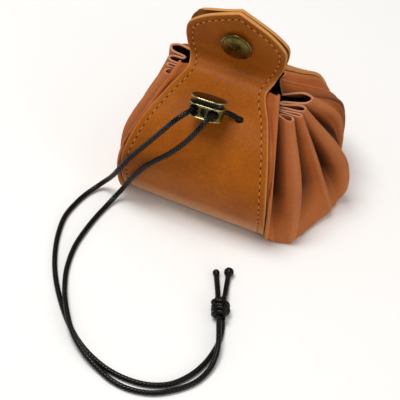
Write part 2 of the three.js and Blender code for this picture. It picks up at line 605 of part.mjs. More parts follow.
// The sides, with a hole through each wall of a pleat that the cord gathers
const drawnPlaces = DRAWN_ROUTE.map((row) => row.at);
const pleatHoles = toSolid(cordTube(drawnPlaces, CORD_RADIUS + PLEAT_CLEAR, DRAWN_STEPS));
for (const side of SIDES) {
  addNode(side.name, toGeometry(sideSolid(side).subtract(pleatHoles)), SIDE_LEATHER);
}

// The lock leans on the front of the neck: its seat lies in the panel's face.
const lockSeat = new THREE.Group();
lockSeat.position.set(...LOCK_AT);
lockSeat.rotation.x = THREE.MathUtils.degToRad(FACE_TILT);
const lock = new THREE.Group();
lock.rotation.set(THREE.MathUtils.degToRad(-LOCK_STAND), 0, THREE.MathUtils.degToRad(LOCK_YAW), 'ZXY');
lockSeat.add(lock);
bag.add(lockSeat);
addNode('lock_body', toGeometry(drumSolid()), OLD_BRASS, lock);
addNode('lock_button', toGeometry(buttonSolid()), DARK_BRASS, lock);

// The cord, its knot and its tails
addNode('cord_drawn', cordTube(drawnPlaces, CORD_RADIUS, DRAWN_STEPS), WAXED_CORD);
addNode('cord_left', cordTube(LEFT_ROUTE, CORD_RADIUS, STRAND_STEPS), WAXED_CORD);
addNode('cord_right', cordTube(RIGHT_ROUTE, CORD_RADIUS, STRAND_STEPS), WAXED_CORD);
let knot = lump(KNOT_LUMPS[0].at, KNOT_LUMPS[0].radii, LUMP_SIDES, LUMP_RINGS);
knot = knot.add(lump(KNOT_LUMPS[1].at, KNOT_LUMPS[1].radii, LUMP_SIDES, LUMP_RINGS));
for (const route of [LEFT_ROUTE, RIGHT_ROUTE]) {
  knot = knot.subtract(cordSocket(route, STRAND_STEPS));
}
for (const tail of TAILS) {
  knot = knot.subtract(cordSocket([...tail.route].reverse(), TAIL_STEPS));
  const radii = [tail.beadRadius, tail.beadRadius, tail.beadRadius];
  const bead = lump(tail.bead, radii, BEAD_SIDES, BEAD_RINGS);
  const whole = toSolid(cordTube(tail.route, CORD_RADIUS, TAIL_STEPS)).add(bead);
  addNode(tail.name, toGeometry(whole), WAXED_CORD);
}
addNode('cord_knot', toGeometry(knot), WAXED_CORD);

export default bag;
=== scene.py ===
"""Dice bag: a drawstring pouch of thick tan leather with pleated sides, a press stud and a cord lock."""

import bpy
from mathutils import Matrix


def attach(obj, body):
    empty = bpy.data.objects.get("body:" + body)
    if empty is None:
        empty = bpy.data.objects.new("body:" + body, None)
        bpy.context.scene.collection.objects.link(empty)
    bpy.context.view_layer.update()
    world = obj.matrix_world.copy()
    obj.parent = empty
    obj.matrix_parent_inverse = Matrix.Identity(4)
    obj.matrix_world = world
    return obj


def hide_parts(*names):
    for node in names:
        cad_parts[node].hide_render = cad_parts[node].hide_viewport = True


bl_info = {
    "name": "Dice Bag",
    "version": (1, 0, 0),
    "blender": (4, 5, 0),
    "location": "View3D > Sidebar > Dice Bag",
    "description": "Makes a drawstring dice bag of leather, with its stitching, stud, cord lock and cord",
    "category": "Add Mesh",
}

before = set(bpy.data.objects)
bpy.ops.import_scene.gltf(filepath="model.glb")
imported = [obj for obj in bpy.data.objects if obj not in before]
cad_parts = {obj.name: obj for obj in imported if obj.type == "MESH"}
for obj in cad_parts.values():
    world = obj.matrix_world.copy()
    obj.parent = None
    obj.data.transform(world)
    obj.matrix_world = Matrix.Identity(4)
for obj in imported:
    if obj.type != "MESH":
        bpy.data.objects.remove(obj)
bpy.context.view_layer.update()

import math

import bmesh
import bpy
import numpy as np
from mathutils import Matrix, Vector
from mathutils.kdtree import KDTree

MM = 0.001
TINY = 1e-9

# Leather sizes in millimetres. The tabs' twist and tilt are in radians, and their lean is a slope.
PANEL_BOW = 1.4
NECK_HEIGHT = 66
TAB_LEAN = 0.144
TAB_TWIST = -0.063
TAB_TILT = 0.041
LEAN_START = 62
LEAN_EASE = 12
TILT_HEIGHT = 66
CURL_OUT = 4.0
CURL_LEFT = 3
CURL_ACROSS = 18
CURL_HEIGHT = 82
CURL_RISE = 10
# How far the back swells out, from and to which height, and how much of that keeps to its edges
BACK_SWELLS = ((2.0, 38, 62, 4), (-1.2, 61, 75, 0))
SEAM_TOP = 67.4
SEAM_GAP = 0.7
SEAM_MARGIN = 4
EDGE_CLEAR = 1.0
EDGE_RISE = 0.2
FLOOR_CLEAR = 0.05

# Half of the strip, from the middle of the bottom to the top of a tab: how far out its outer face lies,
# its height there, and half its width.
PANEL_SECTIONS = (
    (0, 0, 35.4),
    (30, 0, 35.7),
    (36.2, 3.4, 36),
    (40.7, 12.9, 36.8),
    (42.2, 29.4, 36.3),
    (32.8, 46, 31.7),
    (20.3, 57, 25.4),
    (11.8, 66.3, 19.6),
    (5.2, 69.1, 21),
    (3.4, 75.9, 23.3),
    (3.3, 81.8, 24.1),
    (2.9, 87.1, 23.4),
    (2.4, 94.1, 16.3),
    (2.2, 102.5, 0.4),
)
WIDTH_COLUMN = 2

# Folds of each side from the front seam round to the back seam: the rim, belly and foot of each fold line
# as (outwards, back, up), each followed by the width of the fold's round there. The right side is let out
# full, and the left is pushed in.
RIGHT_FOLDS = {
    "flange": ((25.2, -8.8, 65.4), 1.2, (38.3, -40, 27), 1.2, (37.8, -36, 1.6), 1.2),
    "valley beside flange": ((24.6, -13.6, 59.4), 1.4, (32, -27.5, 27), 2.6, (41.1, -34.6, 0.8), 2),
    "first ridge": ((34.8, -13.4, 58.2), 3.4, (47.6, -27.2, 26), 6, (47.4, -32.6, 0.6), 4),
    "first valley": ((26.4, -12, 58.4), 1.4, (41.5, -19, 27), 2.6, (50.4, -25, 0.6), 3),
    "small ridge": ((37.3, -9, 58.4), 1.6, (51.6, -9.6, 27), 4, (56.6, -5, 0.6), 4),
    "small valley": ((25.8, -9.4, 58.5), 1.4, (46, -2.4, 28), 2.6, (57.4, 0.8, 0.6), 3),
    "second ridge": ((37.3, -4.4, 58.8), 3.6, (59.4, 3.4, 27), 6, (57.4, 7.4, 0.6), 6),
    "second valley": ((25, -6.4, 58.8), 1.4, (47.8, 9, 35), 2.8, (52.8, 14, 0.6), 4),
    "third ridge": ((37.3, 3.6, 59.2), 6.6, (50, 14.6, 42), 7, (46.8, 20, 0.6), 6),
    "third valley": ((24, -1.1, 59.5), 1.2, (45.4, 23.4, 42), 3, (44.6, 26.6, 0.6), 4),
    "rear face": ((21.3, 3.4, 63.8), 0.8, (42.2, 33.6, 35), 1.5, (41, 32.4, 1.2), 3),
}
LEFT_FOLDS = {
    "flange": ((24.4, -9.4, 65.4), 1.2, (38.3, -40, 27), 1.2, (37.8, -36, 1.6), 1.2),
    "valley beside flange": ((22.4, -13.4, 60.4), 1.4, (34.6, -31, 27), 2.4, (38.2, -34.2, 0.6), 2),
    "first ridge": ((30, -13, 60.2), 3.8, (41.8, -29, 30), 5, (39, -30.6, 0.6), 4),
    "first valley": ((25, -10.2, 60.4), 1.4, (37.6, -20.6, 29), 2.6, (38.8, -23.6, 0.6), 3),
    "small ridge": ((30.8, -8.7, 60.8), 1.8, (42, -12.4, 30), 4, (39.6, -11, 0.6), 5),
    "small valley": ((24.8, -7.2, 61), 1.4, (37.6, -4, 30), 2.6, (39, -2, 0.6), 3),
    "second ridge": ((31.8, -4.7, 61.4), 3.6, (41.7, 3.4, 30), 5, (39.8, 6, 0.6), 6),
    "second valley": ((24.6, -2.2, 61.8), 1.4, (37, 9, 34), 2.8, (38.8, 14, 0.6), 4),
    "third ridge": ((34, 2.2, 62.4), 5.6, (39, 13.4, 44), 6, (39.2, 20.6, 0.6), 6),
    "third valley": ((23.4, 3.4, 62.6), 1.8, (36.6, 22, 42), 4, (38.6, 27.6, 0.6), 4),
    "rear face": ((21.6, 8, 64.4), 2, (38.6, 34.2, 34), 3, (38, 32.6, 1.2), 3),
}
# Where a fold's row has its rim, belly and foot
RIM, BELLY, FOOT = 0, 2, 4
SIDES = {"gusset_right": (1, RIGHT_FOLDS), "gusset_left": (-1, LEFT_FOLDS)}
SIDE_LEVELS = 4
SEAM_SHARES = (0.0, 0.045, 0.12, 0.45, 1)

# The cord's routes in millimetres
DRAWN_ROUTE = (
    (3.38, -29.5, 61.54), (3.6, -27.03, 60.23), (4.5, -25.3, 59.3), (6.5, -23.75, 58.4),
    (9.2, -23.1, 57.5), (11.6, -22.95, 56.55), (13.3, -21.7, 55.2), (15.3, -19.7, 54.2),
    (18.4, -17, 53.6), (22.5, -14.2, 53.3), (29.2, -10.2, 52.5), (32.5, -3.5, 52.3), (32.5, 3.5, 52.3),
    (29.2, 10.3, 52.7), (22.5, 15.7, 54.3), (17.4, 18.5, 55), (14.6, 21.2, 56.45), (12.2, 23.43, 57.06),
    (7.5, 24.78, 55.88), (0, 25.6, 55.3), (-7.5, 24.78, 55.88), (-12.2, 23.43, 57.06), (-14.6, 21.2, 56.45),
    (-17.4, 18.5, 55), (-21.5, 15.7, 54.3), (-26.2, 10.3, 52.7), (-29, 3.5, 52.3), (-29, -3.5, 52.3),
    (-25.6, -10.4, 52.5), (-19.2, -14.4, 53.4), (-13.2, -17.4, 54.8), (-9.9, -20.6, 56),
    (-7.8, -23.6, 57.7), (-6.2, -26.6, 59.7), (-5.81, -29.74, 61.33),
)
# Points of that route where the cord goes through the strip
CORD_HOLES = (6, 16, 22, 31)
LEFT_ROUTE = (
    (-5.81, -30.1, 61.51), (-5.9, -34.1, 63.8), (-6.8, -37.9, 64.6), (-8.6, -41.2, 63.9),
    (-10.8, -43.5, 61.9), (-15, -44, 55.5), (-19.4, -44.1, 48.5), (-23.9, -44.1, 41.4),
    (-28.5, -44.2, 34.2), (-32.4, -44.7, 28), (-36.1, -44.8, 20.9), (-39.7, -43.4, 13.6),
    (-43, -41.8, 7.9), (-45.9, -42.3, 4.2), (-48.4, -45.2, 2.1), (-50.4, -49.8, 1.38), (-51.8, -56, 1.3),
    (-52.6, -67.4, 1.3), (-50.1, -79, 1.3), (-45.2, -91.5, 1.3), (-38.6, -103.1, 1.3),
    (-29.9, -114.4, 1.3), (-20.8, -124, 1.3), (-11.4, -131.5, 1.3), (-2.8, -136, 1.3),
    (6.3, -138.9, 1.3), (16.1, -139.7, 1.3), (25.3, -138.1, 1.3), (33.3, -133.5, 1.3),
    (38.8, -125.8, 1.3), (41.8, -117.3, 1.3), (42.8, -109, 1.3), (42.5, -101.6, 1.4), (40.6, -94.6, 1.9),
    (38.9, -90.6, 2.4),
)
RIGHT_ROUTE = (
    (3.38, -29.86, 61.72), (3.45, -33.8, 63.95), (3.3, -37.4, 64.9), (2.3, -40.8, 64.2),
    (0.9, -43, 61.7), (-2.6, -43.4, 55), (-6.7, -43.8, 48.4), (-11.5, -44.2, 41.8), (-17, -44.6, 35.6),
    (-23, -45.2, 28.6), (-27.8, -45.2, 20.8), (-31.6, -44, 13.4), (-34.2, -43.9, 7.8),
    (-36.2, -45.8, 4.2), (-37.7, -49.4, 2.2), (-38.6, -54, 1.42), (-39.4, -60, 1.3), (-40, -70, 1.3),
    (-39.6, -82.6, 1.3), (-36.6, -95.9, 1.36), (-32.6, -105.4, 1.9), (-28.1, -113.7, 3.5),
    (-22.9, -121.4, 4.3), (-17.5, -128.1, 4.2), (-12.3, -132.8, 3.8), (-5.2, -137.5, 3),
    (2.1, -140.7, 2), (11.1, -143.6, 1.4), (19.8, -143.9, 1.3), (28.8, -141.2, 1.3), (36.4, -135.5, 1.3),
    (42.5, -127.8, 1.36), (45.2, -119.4, 1.8), (45.2, -112.5, 3), (43.9, -107, 4.1), (41.9, -101.8, 4.5),
    (39.6, -96.6, 4.4), (37.4, -91.6, 4.5),
)
TAILS = {
    "cord_tail_left": (((33.4, -83.4, 2.4), (31.2, -78.4, 1.7), (28.9, -73.8, 1.5), (25.6, -67.6, 1.7),
                        (24.4, -65.2, 1.75)), 1.7),
    "cord_tail_right": (((35.4, -81.8, 4.2), (34.2, -77.0, 2.6), (32.6, -71.8, 1.8), (30.6, -64.8, 2.3),
                         (29.7, -62.0, 2.4)), 2.35),
}
KNOT_START = (38.6, -92.4, 3.75)
KNOT_END = (33.4, -81.4, 3.75)

# The stud and the lock, each in its own frame
SNAP_AT = (0.7, 84.0)
LOCK_AT = (-1.1, -31.5, 58.3)
FACE_TILT = 41.2
LOCK_YAW = 2
LOCK_STAND = 69
LOCK_LONG = 17.2
LOCK_DEEP = 11.2
LOCK_CORNER = 5.5
BORE_ACROSS = 4.6
DRUM_BORE = 2.6
DRUM_BORE_UP = 3.3
STEM_LONG = 14.3
STEM_DEEP = 6.0
STEM_CORNER = 2.9
STEM_BORE = 2.27
STEM_LIFT = 0.87
WINDOW_HALF = 1.15
WINDOW_HIGH = 3.8

# The photograph's view, in metres, degrees and pixels
VIEW_FROM = (0.174943, -0.500492, 0.523538)
VIEW_AT = (0.005518, -0.044702, 0.020)
VIEW_ROLL = -5.765
FOCAL_PX = 1512.4
IMAGE_PX = 400
SENSOR = 36.0


def linear(code):
    """Linear colour of an sRGB hex value."""
    parts = [int(code[k:k + 2], 16) / 255 for k in (1, 3, 5)]
    return [c / 12.92 if c <= 0.04045 else ((c + 0.055) / 1.055) ** 2.4 for c in parts] + [1.0]


# Curves and grids


def smooth_path(places, shares):
    """Points at shares from 0 to 1 of the centripetal curve through places."""
    p = np.asarray(places, float)
    p = np.vstack([2 * p[0] - p[1], p, 2 * p[-1] - p[-2]])
    spans = len(p) - 3
    at = np.clip(np.asarray(shares, float), 0, 1) * spans
    k = np.minimum(at.astype(int), spans - 1)
    t = (at - k)[:, None]
    p0, p1, p2, p3 = (p[k + n] for n in range(4))
    pairs = (p0, p1), (p1, p2), (p2, p3)
    d0, d1, d2 = (np.sqrt(np.linalg.norm(b - a, axis=1))[:, None] for a, b in pairs)
    start = ((p1 - p0) / d0 - (p2 - p0) / (d0 + d1) + (p2 - p1) / d1) * d1
    end = ((p2 - p1) / d1 - (p3 - p1) / (d1 + d2) + (p3 - p2) / d2) * d1
    return (p1 + start * t + (3 * (p2 - p1) - 2 * start - end) * t ** 2
            + (2 * (p1 - p2) + start + end) * t ** 3)


def lengths(line):
    """Distance along a line at each of its points."""
    return np.concatenate([[0], np.cumsum(np.linalg.norm(np.diff(line, axis=0), axis=1))])


def places_at(line, at):
    """Places at distances along a line."""
    along = lengths(line)
    return np.stack([np.interp(at, along, line[:, k]) for k in range(line.shape[1])], axis=1)


def even(line, step):
    """The line with its points about step apart."""
    total = lengths(line)[-1]
    count = max(2, int(round(total / step)) + 1)
    return places_at(line, np.linspace(0, total, count))


def search_tree(places):
    """A tree that finds the nearest of these places."""
    tree = KDTree(len(places))
    for k, place in enumerate(places):
        tree.insert(place, k)
    tree.balance()
    return tree


def nearest_gaps(flat, line):
    """Distance from each flat place to the nearest point of a flat line."""
    tree = search_tree(np.pad(line, ((0, 0), (0, 1))))
    return np.array([tree.find((p[0], p[1], 0))[2] for p in flat])


def new_grid(columns, rows):
    """A bmesh grid, and the column and row of each vertex."""
    bm = bmesh.new()
    bmesh.ops.create_grid(bm, x_segments=columns, y_segments=rows, size=0.5)
    shares = np.array([(v.co.x + 0.5, v.co.y + 0.5) for v in bm.verts])
    column, row = np.rint(shares * (columns, rows)).astype(int).T
    return bm, column, row


def put(bm, places):
    """Moves the vertices to places in millimetres."""
    for vert, place in zip(bm.verts, np.asarray(places) * MM):
        vert.co = place


def paint(bm, name, values):
    """Keeps one number for each vertex as an attribute."""
    layer = bm.verts.layers.float.new(name)
    for vert, value in zip(bm.verts, values):
        vert[layer] = value


def weld(bm, distance=0.002):
    """Closes a seam where a grid meets itself."""
    bmesh.ops.remove_doubles(bm, verts=bm.verts, dist=distance * MM)


def close_ends(bm):
    """Fills each open ring."""
    edges = [e for e in bm.edges if e.is_boundary]
    bmesh.ops.holes_fill(bm, edges=edges, sides=0)


def punch(bm, inside, onto):
    """Deletes the faces whose middle is inside, and moves the hole's edge onto its outline."""
    faces = [f for f in bm.faces if inside(np.array(f.calc_center_median()) / MM)]
    rim = {v for f in faces for v in f.verts}
    bmesh.ops.delete(bm, geom=faces, context="FACES")
    for vert in rim:
        if vert.is_valid:
            vert.co = Vector(onto(np.array(vert.co) / MM)) * MM


def make_piece(name, bm, materials, body="bag", replaces=()):
    """Finishes a bmesh as a smooth piece that rides on a body."""
    mesh = bpy.data.meshes.new(name)
    for face in bm.faces:
        face.smooth = True
    bm.to_mesh(mesh)
    bm.free()
    piece = bpy.data.objects.new(name, mesh)
    bpy.context.scene.collection.objects.link(piece)
    for material in materials:
        mesh.materials.append(material)
    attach(piece, body)
    if replaces:
        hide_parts(*replaces)
    return piece


def thicken(piece, thickness, offset, inner=0, rim=0, even_offset=True):
    """Gives a wall its thickness, with other finishes inside and on its cut edge."""
    wall = piece.modifiers.new("Thickness", "SOLIDIFY")
    wall.thickness = thickness
    wall.offset = offset
    wall.use_even_offset = even_offset
    wall.material_offset = inner
    wall.material_offset_rim = rim


def round_edges(piece, width):
    """Rounds the sharp edges of a piece."""
    bevel = piece.modifiers.new("Rounded edges", "BEVEL")
    bevel.width = width
    bevel.segments = 2
    bevel.limit_method = "ANGLE"
    bevel.angle_limit = math.radians(50)
    bevel.use_clamp_overlap = False


def even_out(piece):
    """Lets the broad faces set the shading, so a thin cut edge stays crisp."""
    piece.modifiers.new("Weighted normals", "WEIGHTED_NORMAL").weight = 100


# The flat strip and how it is folded up


STRIP_SHARES = np.linspace(0, 1, 2001)
STRIP = smooth_path(PANEL_SECTIONS, STRIP_SHARES)
STRIP[:, 1] = np.maximum(0, STRIP[:, 1])
STRIP_LONG = lengths(STRIP[:, :2])
STRIP_SLOPE = np.gradient(STRIP[:, :2], axis=0)
STRIP_SLOPE /= np.maximum(np.linalg.norm(STRIP_SLOPE, axis=1), TINY)[:, None]
STRIP_SPANS = len(PANEL_SECTIONS) - 1
TAB_BASE_HEIGHT = 66.5
TAB_CORNER_HEIGHT = 87.2
OUTLINE_STEP = 0.2
INSET_SLACK = 0.02


def strip_length_at(height):
    """How far along the strip it reaches a height."""
    first = np.searchsorted(STRIP[:, 1], TINY)
    return float(np.interp(height, STRIP[first:, 1], STRIP_LONG[first:]))


def strip_value(long, column):
    """A column of the strip's side view at a distance along it."""
    return np.interp(long, STRIP_LONG, STRIP[:, column])


def settle(points):
    """Leans both tabs forwards above the neck, and turns and tilts them a little."""
    rise = np.maximum(0, points[:, 2] - LEAN_START)
    ease = np.clip(rise / LEAN_EASE, 0, 1)
    turn = TAB_TWIST * ease
    x = points[:, 0] * np.cos(turn) + points[:, 1] * np.sin(turn)
    y = points[:, 1] * np.cos(turn) - points[:, 0] * np.sin(turn)
    tilt = TAB_TILT * ease
    up = points[:, 2] - TILT_HEIGHT
    tilted = x * np.cos(tilt) + up * np.sin(tilt)
    z = TILT_HEIGHT + up * np.cos(tilt) - x * np.sin(tilt)
    return np.stack([tilted, y - TAB_LEAN * rise * ease, z], axis=1)


def strip_points(x, long, face, depth):
    """Places on the strip: x across, long along it from the bottom's middle, depth in from its face."""
    x, long, face, depth = np.broadcast_arrays(*(np.asarray(v, float) for v in (x, long, face, depth)))
    out, height, half = (strip_value(long, k) for k in range(3))
    slope_out = np.interp(long, STRIP_LONG, STRIP_SLOPE[:, 0])
    slope_up = np.interp(long, STRIP_LONG, STRIP_SLOPE[:, 1])
    rise = np.clip(height / NECK_HEIGHT, 0, 1)
    across = x / np.maximum(half, 1)
    bow = PANEL_BOW * np.sin(np.pi * rise) * (1 - across ** 2)
    off = bow - depth
    for swell, low, high, power in BACK_SWELLS:
        share = np.sin(np.pi * np.clip((height - low) / (high - low), 0, 1))
        off = off + swell * share * np.abs(across) ** power * (face > 0)
    y = face * (out + off * slope_up)
    corner = np.clip((-x - CURL_LEFT) / CURL_ACROSS, 0, 1) ** 2
    corner = corner * np.clip((height - CURL_HEIGHT) / CURL_RISE, 0, 1)
    y = y + CURL_OUT * corner * (face > 0)
    return settle(np.stack([x, y, height - off * slope_out], axis=1))


def strip_normals(x, long, face):
    """Directions out of the strip's outer face."""
    here = strip_points(x, long, face, 0)
    inner = strip_points(x, long, face, 1)
    return (here - inner) / np.linalg.norm(here - inner, axis=1)[:, None]


def tab_outline():
    """The flat right edge of a half strip, from the bottom's middle to the tab's top, as (x, long)."""
    return np.stack([STRIP[:, WIDTH_COLUMN], STRIP_LONG], axis=1)


def whole_outline():
    """The flat edge of a half strip from the right bottom over the tab's top to the left bottom."""
    right = even(tab_outline(), OUTLINE_STEP)
    return np.concatenate([right, (right * (-1, 1))[::-1][1:]])


def inset_line(distance):
    """The outline moved inwards, as a stitching line is marked."""
    line = whole_outline()
    step = np.gradient(line, axis=0)
    inward = np.stack([-step[:, 1], step[:, 0]], axis=1)
    inward /= np.linalg.norm(inward, axis=1)[:, None]
    moved = line + inward * distance
    return moved[nearest_gaps(moved, line) > distance - INSET_SLACK]


EDGE_STEPS = (0, 0.35, 0.8, 1.3, 1.8, 2.25, 2.65, 3.05, 3.45, 3.9, 4.5, 5.3)
MIDDLE_COLUMNS = 30
LOWER_ROWS = 96
TAB_ROWS = 42
TAB_ROW_POWER = 1.35


def column_places(half):
    """Flat places of the panel's columns on a row of that half width: close together near both edges."""
    edge = np.array(EDGE_STEPS)
    middle = np.linspace(-1, 1, MIDDLE_COLUMNS + 1)[1:-1]
    left = -half[:, None] + edge
    inner = (half[:, None] - edge[-1]) * middle
    return np.concatenate([left, inner, -left[:, ::-1]], axis=1)


def half_strip_rows():
    """Flat (x, long) of each row of a half strip, from the bottom's middle to the top of the tab."""
    base_long = strip_length_at(TAB_BASE_HEIGHT)
    lower = np.linspace(0, base_long, LOWER_ROWS + 1)
    xs = column_places(strip_value(lower, WIDTH_COLUMN))
    rows = [np.stack([row, np.full_like(row, long)], axis=1) for row, long in zip(xs, lower)]
    base = rows[-1]
    blend = ((base[:, 0] / base[-1, 0]) + 1) / 2
    corner_long = strip_length_at(TAB_CORNER_HEIGHT)
    outline = tab_outline()
    side = outline[(outline[:, 1] >= base_long) & (outline[:, 1] <= corner_long)]
    top = outline[outline[:, 1] >= corner_long]
    arch = np.concatenate([(top * (-1, 1)), top[::-1][1:]])
    crown = places_at(arch, blend * lengths(arch)[-1])
    share = np.linspace(0, 1, TAB_ROWS + 1)[1:]
    share = 1 - (1 - share) ** TAB_ROW_POWER
    right = places_at(side, share * lengths(side)[-1])

    def across(start, end):
        return start + blend[:, None] * (end - start)

    for v, edge in zip(share, right):
        line = base + v * (crown - base)
        rows.append(line + across(edge * (-1, 1), edge) - across(line[0], line[-1]))
    return np.array(rows)


GROOVE_DEPTH = 0.28
GROOVE_WIDTH = 0.55
GROOVE_FROM = 2
GROOVE_FADE = 4


def panel_places(half, column, row, stitch_inset):
    """Places of the whole strip's grid, from the back tab's top under the bag to the front tab's top."""
    rows = np.concatenate([half[::-1], half[1:]])
    faces = np.concatenate([np.ones(len(half)), -np.ones(len(half) - 1)])
    flat = rows[row, column]
    edge = nearest_gaps(flat, whole_outline())
    groove = GROOVE_DEPTH * np.exp(-((edge - stitch_inset) / GROOVE_WIDTH) ** 2)
    groove *= np.clip((flat[:, 1] - strip_length_at(GROOVE_FROM)) / GROOVE_FADE, 0, 1)
    return strip_points(flat[:, 0], flat[:, 1], faces[row], groove), edge, flat[:, 1]


# The pleated sides


SIDE_ROWS = 84
ROUND_STEPS = 4
WALL_STEPS = 7
FOOT_EASE = 0.7
# Crest values set the painted shade in the pleats, 0 darkest and 1 none; it fades in above the floor.
SEAM_CREST = 0.95
VALLEY_CRESTS = {"third valley": 0.55}
CREST_POWER = 1.8
CREST_START = 4
CREST_RISE = 22


def seam_places(level, face, panel_thick, side_thick):
    """The side's margin behind the strip and the line just past the strip's edge, at a level."""
    bottom = STRIP_LONG[int(round((len(STRIP) - 1) / STRIP_SPANS))]
    neck = strip_length_at(SEAM_TOP if face < 0 else NECK_HEIGHT)
    share = np.interp(level, range(len(SEAM_SHARES)), SEAM_SHARES)
    low, high = (np.interp(v, STRIP_LONG, STRIP_SHARES) for v in (bottom, neck))
    long = np.interp(low + (high - low) * share, STRIP_SHARES, STRIP_LONG)
    half = strip_value(long, WIDTH_COLUMN)
    behind = panel_thick + SEAM_GAP + side_thick / 2
    margin = strip_points(half - SEAM_MARGIN, long, face, behind)
    edge = strip_points(half + EDGE_CLEAR, long, face, behind - EDGE_RISE)
    return margin, edge


def round_tips(tips, widths):
    """Three places on the round of each fold at one level: before its tip, its tip and after it."""
    tips = np.array(tips, float)
    onward = np.tile((0.0, 1.0), (len(tips), 1))
    onward[1:-1] = tips[2:, :2] - tips[:-2, :2]
    ways = np.tile((1.0, 0.0), (len(tips), 1))
    lead = tips[1:-1, :2] - (tips[:-2, :2] + tips[2:, :2]) / 2
    square = np.stack([onward[1:-1, 1], -onward[1:-1, 0]], axis=1)
    square *= np.where((square * lead).sum(1) < 0, -1, 1)[:, None]
    spread = np.linalg.norm(square, axis=1)[:, None]
    ways[1:-1] = lead * np.linalg.norm(lead, axis=1)[:, None] + square * spread / 4
    ways /= np.linalg.norm(ways, axis=1)[:, None]
    across = np.stack([-ways[:, 1], ways[:, 0]], axis=1)
    across *= np.where((across * onward).sum(1) < 0, -1, 1)[:, None]
    half = np.array(widths)[:, None] / 2
    flat = np.zeros((len(tips), 1))
    back = tips - np.hstack([ways * half, flat])
    side = np.hstack([across * half, flat])
    return np.stack([back - side, tips, back + side], axis=1).reshape(-1, 3)


def fold_points(folds, part):
    """Three places on the round of each fold at its rim, belly or foot."""
    rows = folds.values()
    return round_tips([row[part] for row in rows], [row[part + 1] for row in rows])


def foot_line(folds):
    """Three places for each fold, near the smooth outline that the feet make on the floor."""
    feet = fold_points(folds, FOOT)
    last = len(folds) - 1
    spots = [(k + way / 4) / last for k in range(1, last) for way in (-1, 0, 1)]
    outline = smooth_path([row[FOOT] for row in folds.values()], spots)
    feet[3:-3] += (outline - feet[3:-3]) * FOOT_EASE
    return feet


def side_lines(shares, folds, panel_thick, side_thick):
    """Control points of each row of a side, as rows by controls by three."""
    half = PANEL_SECTIONS[1][WIDTH_COLUMN]
    floor_height = panel_thick + SEAM_GAP + side_thick / 2
    low = side_thick / 2 + FLOOR_CLEAR
    rims = fold_points(folds, RIM)
    bellies = fold_points(folds, BELLY)
    feet = foot_line(folds)
    seam_ys = [row[FOOT][1] + way * row[FOOT + 1] / 4 for row in folds.values() for way in (-1, 0, 1)]
    narrower = PANEL_SECTIONS[1][0] / (PANEL_SECTIONS[2][0] + 1)
    lines = []
    for rim, belly, foot, seam_y in zip(rims, bellies, feet, seam_ys):
        seam_y *= narrower
        lines.append(smooth_path((
            (half - SEAM_MARGIN, seam_y, floor_height),
            (half + EDGE_CLEAR, seam_y, floor_height - EDGE_RISE),
            (foot[0], foot[1], max(foot[2], low)), belly, rim), shares))
    level = shares * SIDE_LEVELS
    front = seam_places(level, -1, panel_thick, side_thick)
    back = seam_places(level, 1, panel_thick, side_thick)
    return np.stack([*front, *lines, back[1], back[0]], axis=1)


def side_rows(sign, folds, panel_thick, side_thick):
    """Places of a side's grid from its bottom margin to its rim, and its crest for the painted shade: 0 in
    a valley to 1 on a ridge.
    """
    shares = np.linspace(0, 1, SIDE_ROWS + 1)
    controls = side_lines(shares, folds, panel_thick, side_thick)
    spans = controls.shape[1] - 1
    steps = []
    for k in range(spans):
        count = WALL_STEPS if k % 3 == 1 or k in (0, spans - 1) else ROUND_STEPS
        steps.extend((k + m / count) / spans for m in range(count))
    steps.append(1.0)
    rows = np.array([smooth_path(row, steps) for row in controls])
    crests = [VALLEY_CRESTS.get(name, 0.0) if "valley" in name else 1.0 for name in folds]
    ends = 2 * [SEAM_CREST]
    crest = np.interp(np.array(steps) * spans, range(spans + 1), [*ends, *np.repeat(crests, 3), *ends])
    crest = 1 - (1 - crest ** CREST_POWER) * np.clip((rows[..., 2] - CREST_START) / CREST_RISE, 0, 1)
    rows[..., 2] = np.maximum(rows[..., 2], side_thick / 2 + FLOOR_CLEAR)
    if sign < 0:
        rows = (rows * (-1, 1, 1))[:, ::-1]
        crest = crest[:, ::-1]
    return rows, crest


def bend_of(rows):
    """How far each point of a grid stands out past its neighbours, as a ridge does."""
    reach = 2
    least_step = 0.05
    smoothings = 4
    wide = np.pad(rows, ((0, 0), (reach, reach), (0, 0)), mode="edge")
    mean = (wide[:, :-2 * reach] + wide[:, 2 * reach:]) / 2
    along = np.gradient(rows, axis=1)
    up = np.gradient(rows, axis=0)
    normal = np.cross(along, up)
    normal /= np.maximum(np.linalg.norm(normal, axis=2), TINY)[..., None]
    size = np.maximum(np.linalg.norm(along, axis=2), least_step)
    bend = ((rows - mean) * normal).sum(2) / size
    for _ in range(smoothings):
        padded = np.pad(bend, ((0, 0), (1, 1)), mode="edge")
        bend = (padded[:, :-2] + 2 * padded[:, 1:-1] + padded[:, 2:]) / 4
    return np.clip(bend, -1, 1)


# Materials


MULTIPLY = {"data_type": "RGBA", "blend_type": "MULTIPLY"}


def add_node(tree, kind, links=None, out=0, stops=(), **settings):
    """Adds a node with its settings and links, and gives the socket of one of its outputs."""
    made = tree.nodes.new(kind)
    for name, value in settings.items():
        setattr(made, name, value)
    for name, value in (links or {}).items():
        if isinstance(value, bpy.types.NodeSocket):
            tree.links.new(value, made.inputs[name])
        else:
            made.inputs[name].default_value = value
    for k, (position, code) in enumerate(stops):
        elements = made.color_ramp.elements
        element = elements[k] if k < len(elements) else elements.new(position)
        element.position = position
        element.color = linear(code)
    return made.outputs[out]


def new_material(name, constants):
    """A material with these constants on its Principled shader, its tree and its Object coordinates."""
    material = bpy.data.materials.new(name)
    material.use_nodes = True
    tree = material.node_tree
    shader = tree.nodes["Principled BSDF"]
    for socket, value in constants.items():
        shader.inputs[socket].default_value = value
    return material, tree, add_node(tree, "ShaderNodeTexCoord", out="Object")


def linked(material, sockets):
    """The material, with these sockets linked to its shader's inputs."""
    tree = material.node_tree
    for name, socket in sockets.items():
        tree.links.new(socket, tree.nodes["Principled BSDF"].inputs[name])
    return material


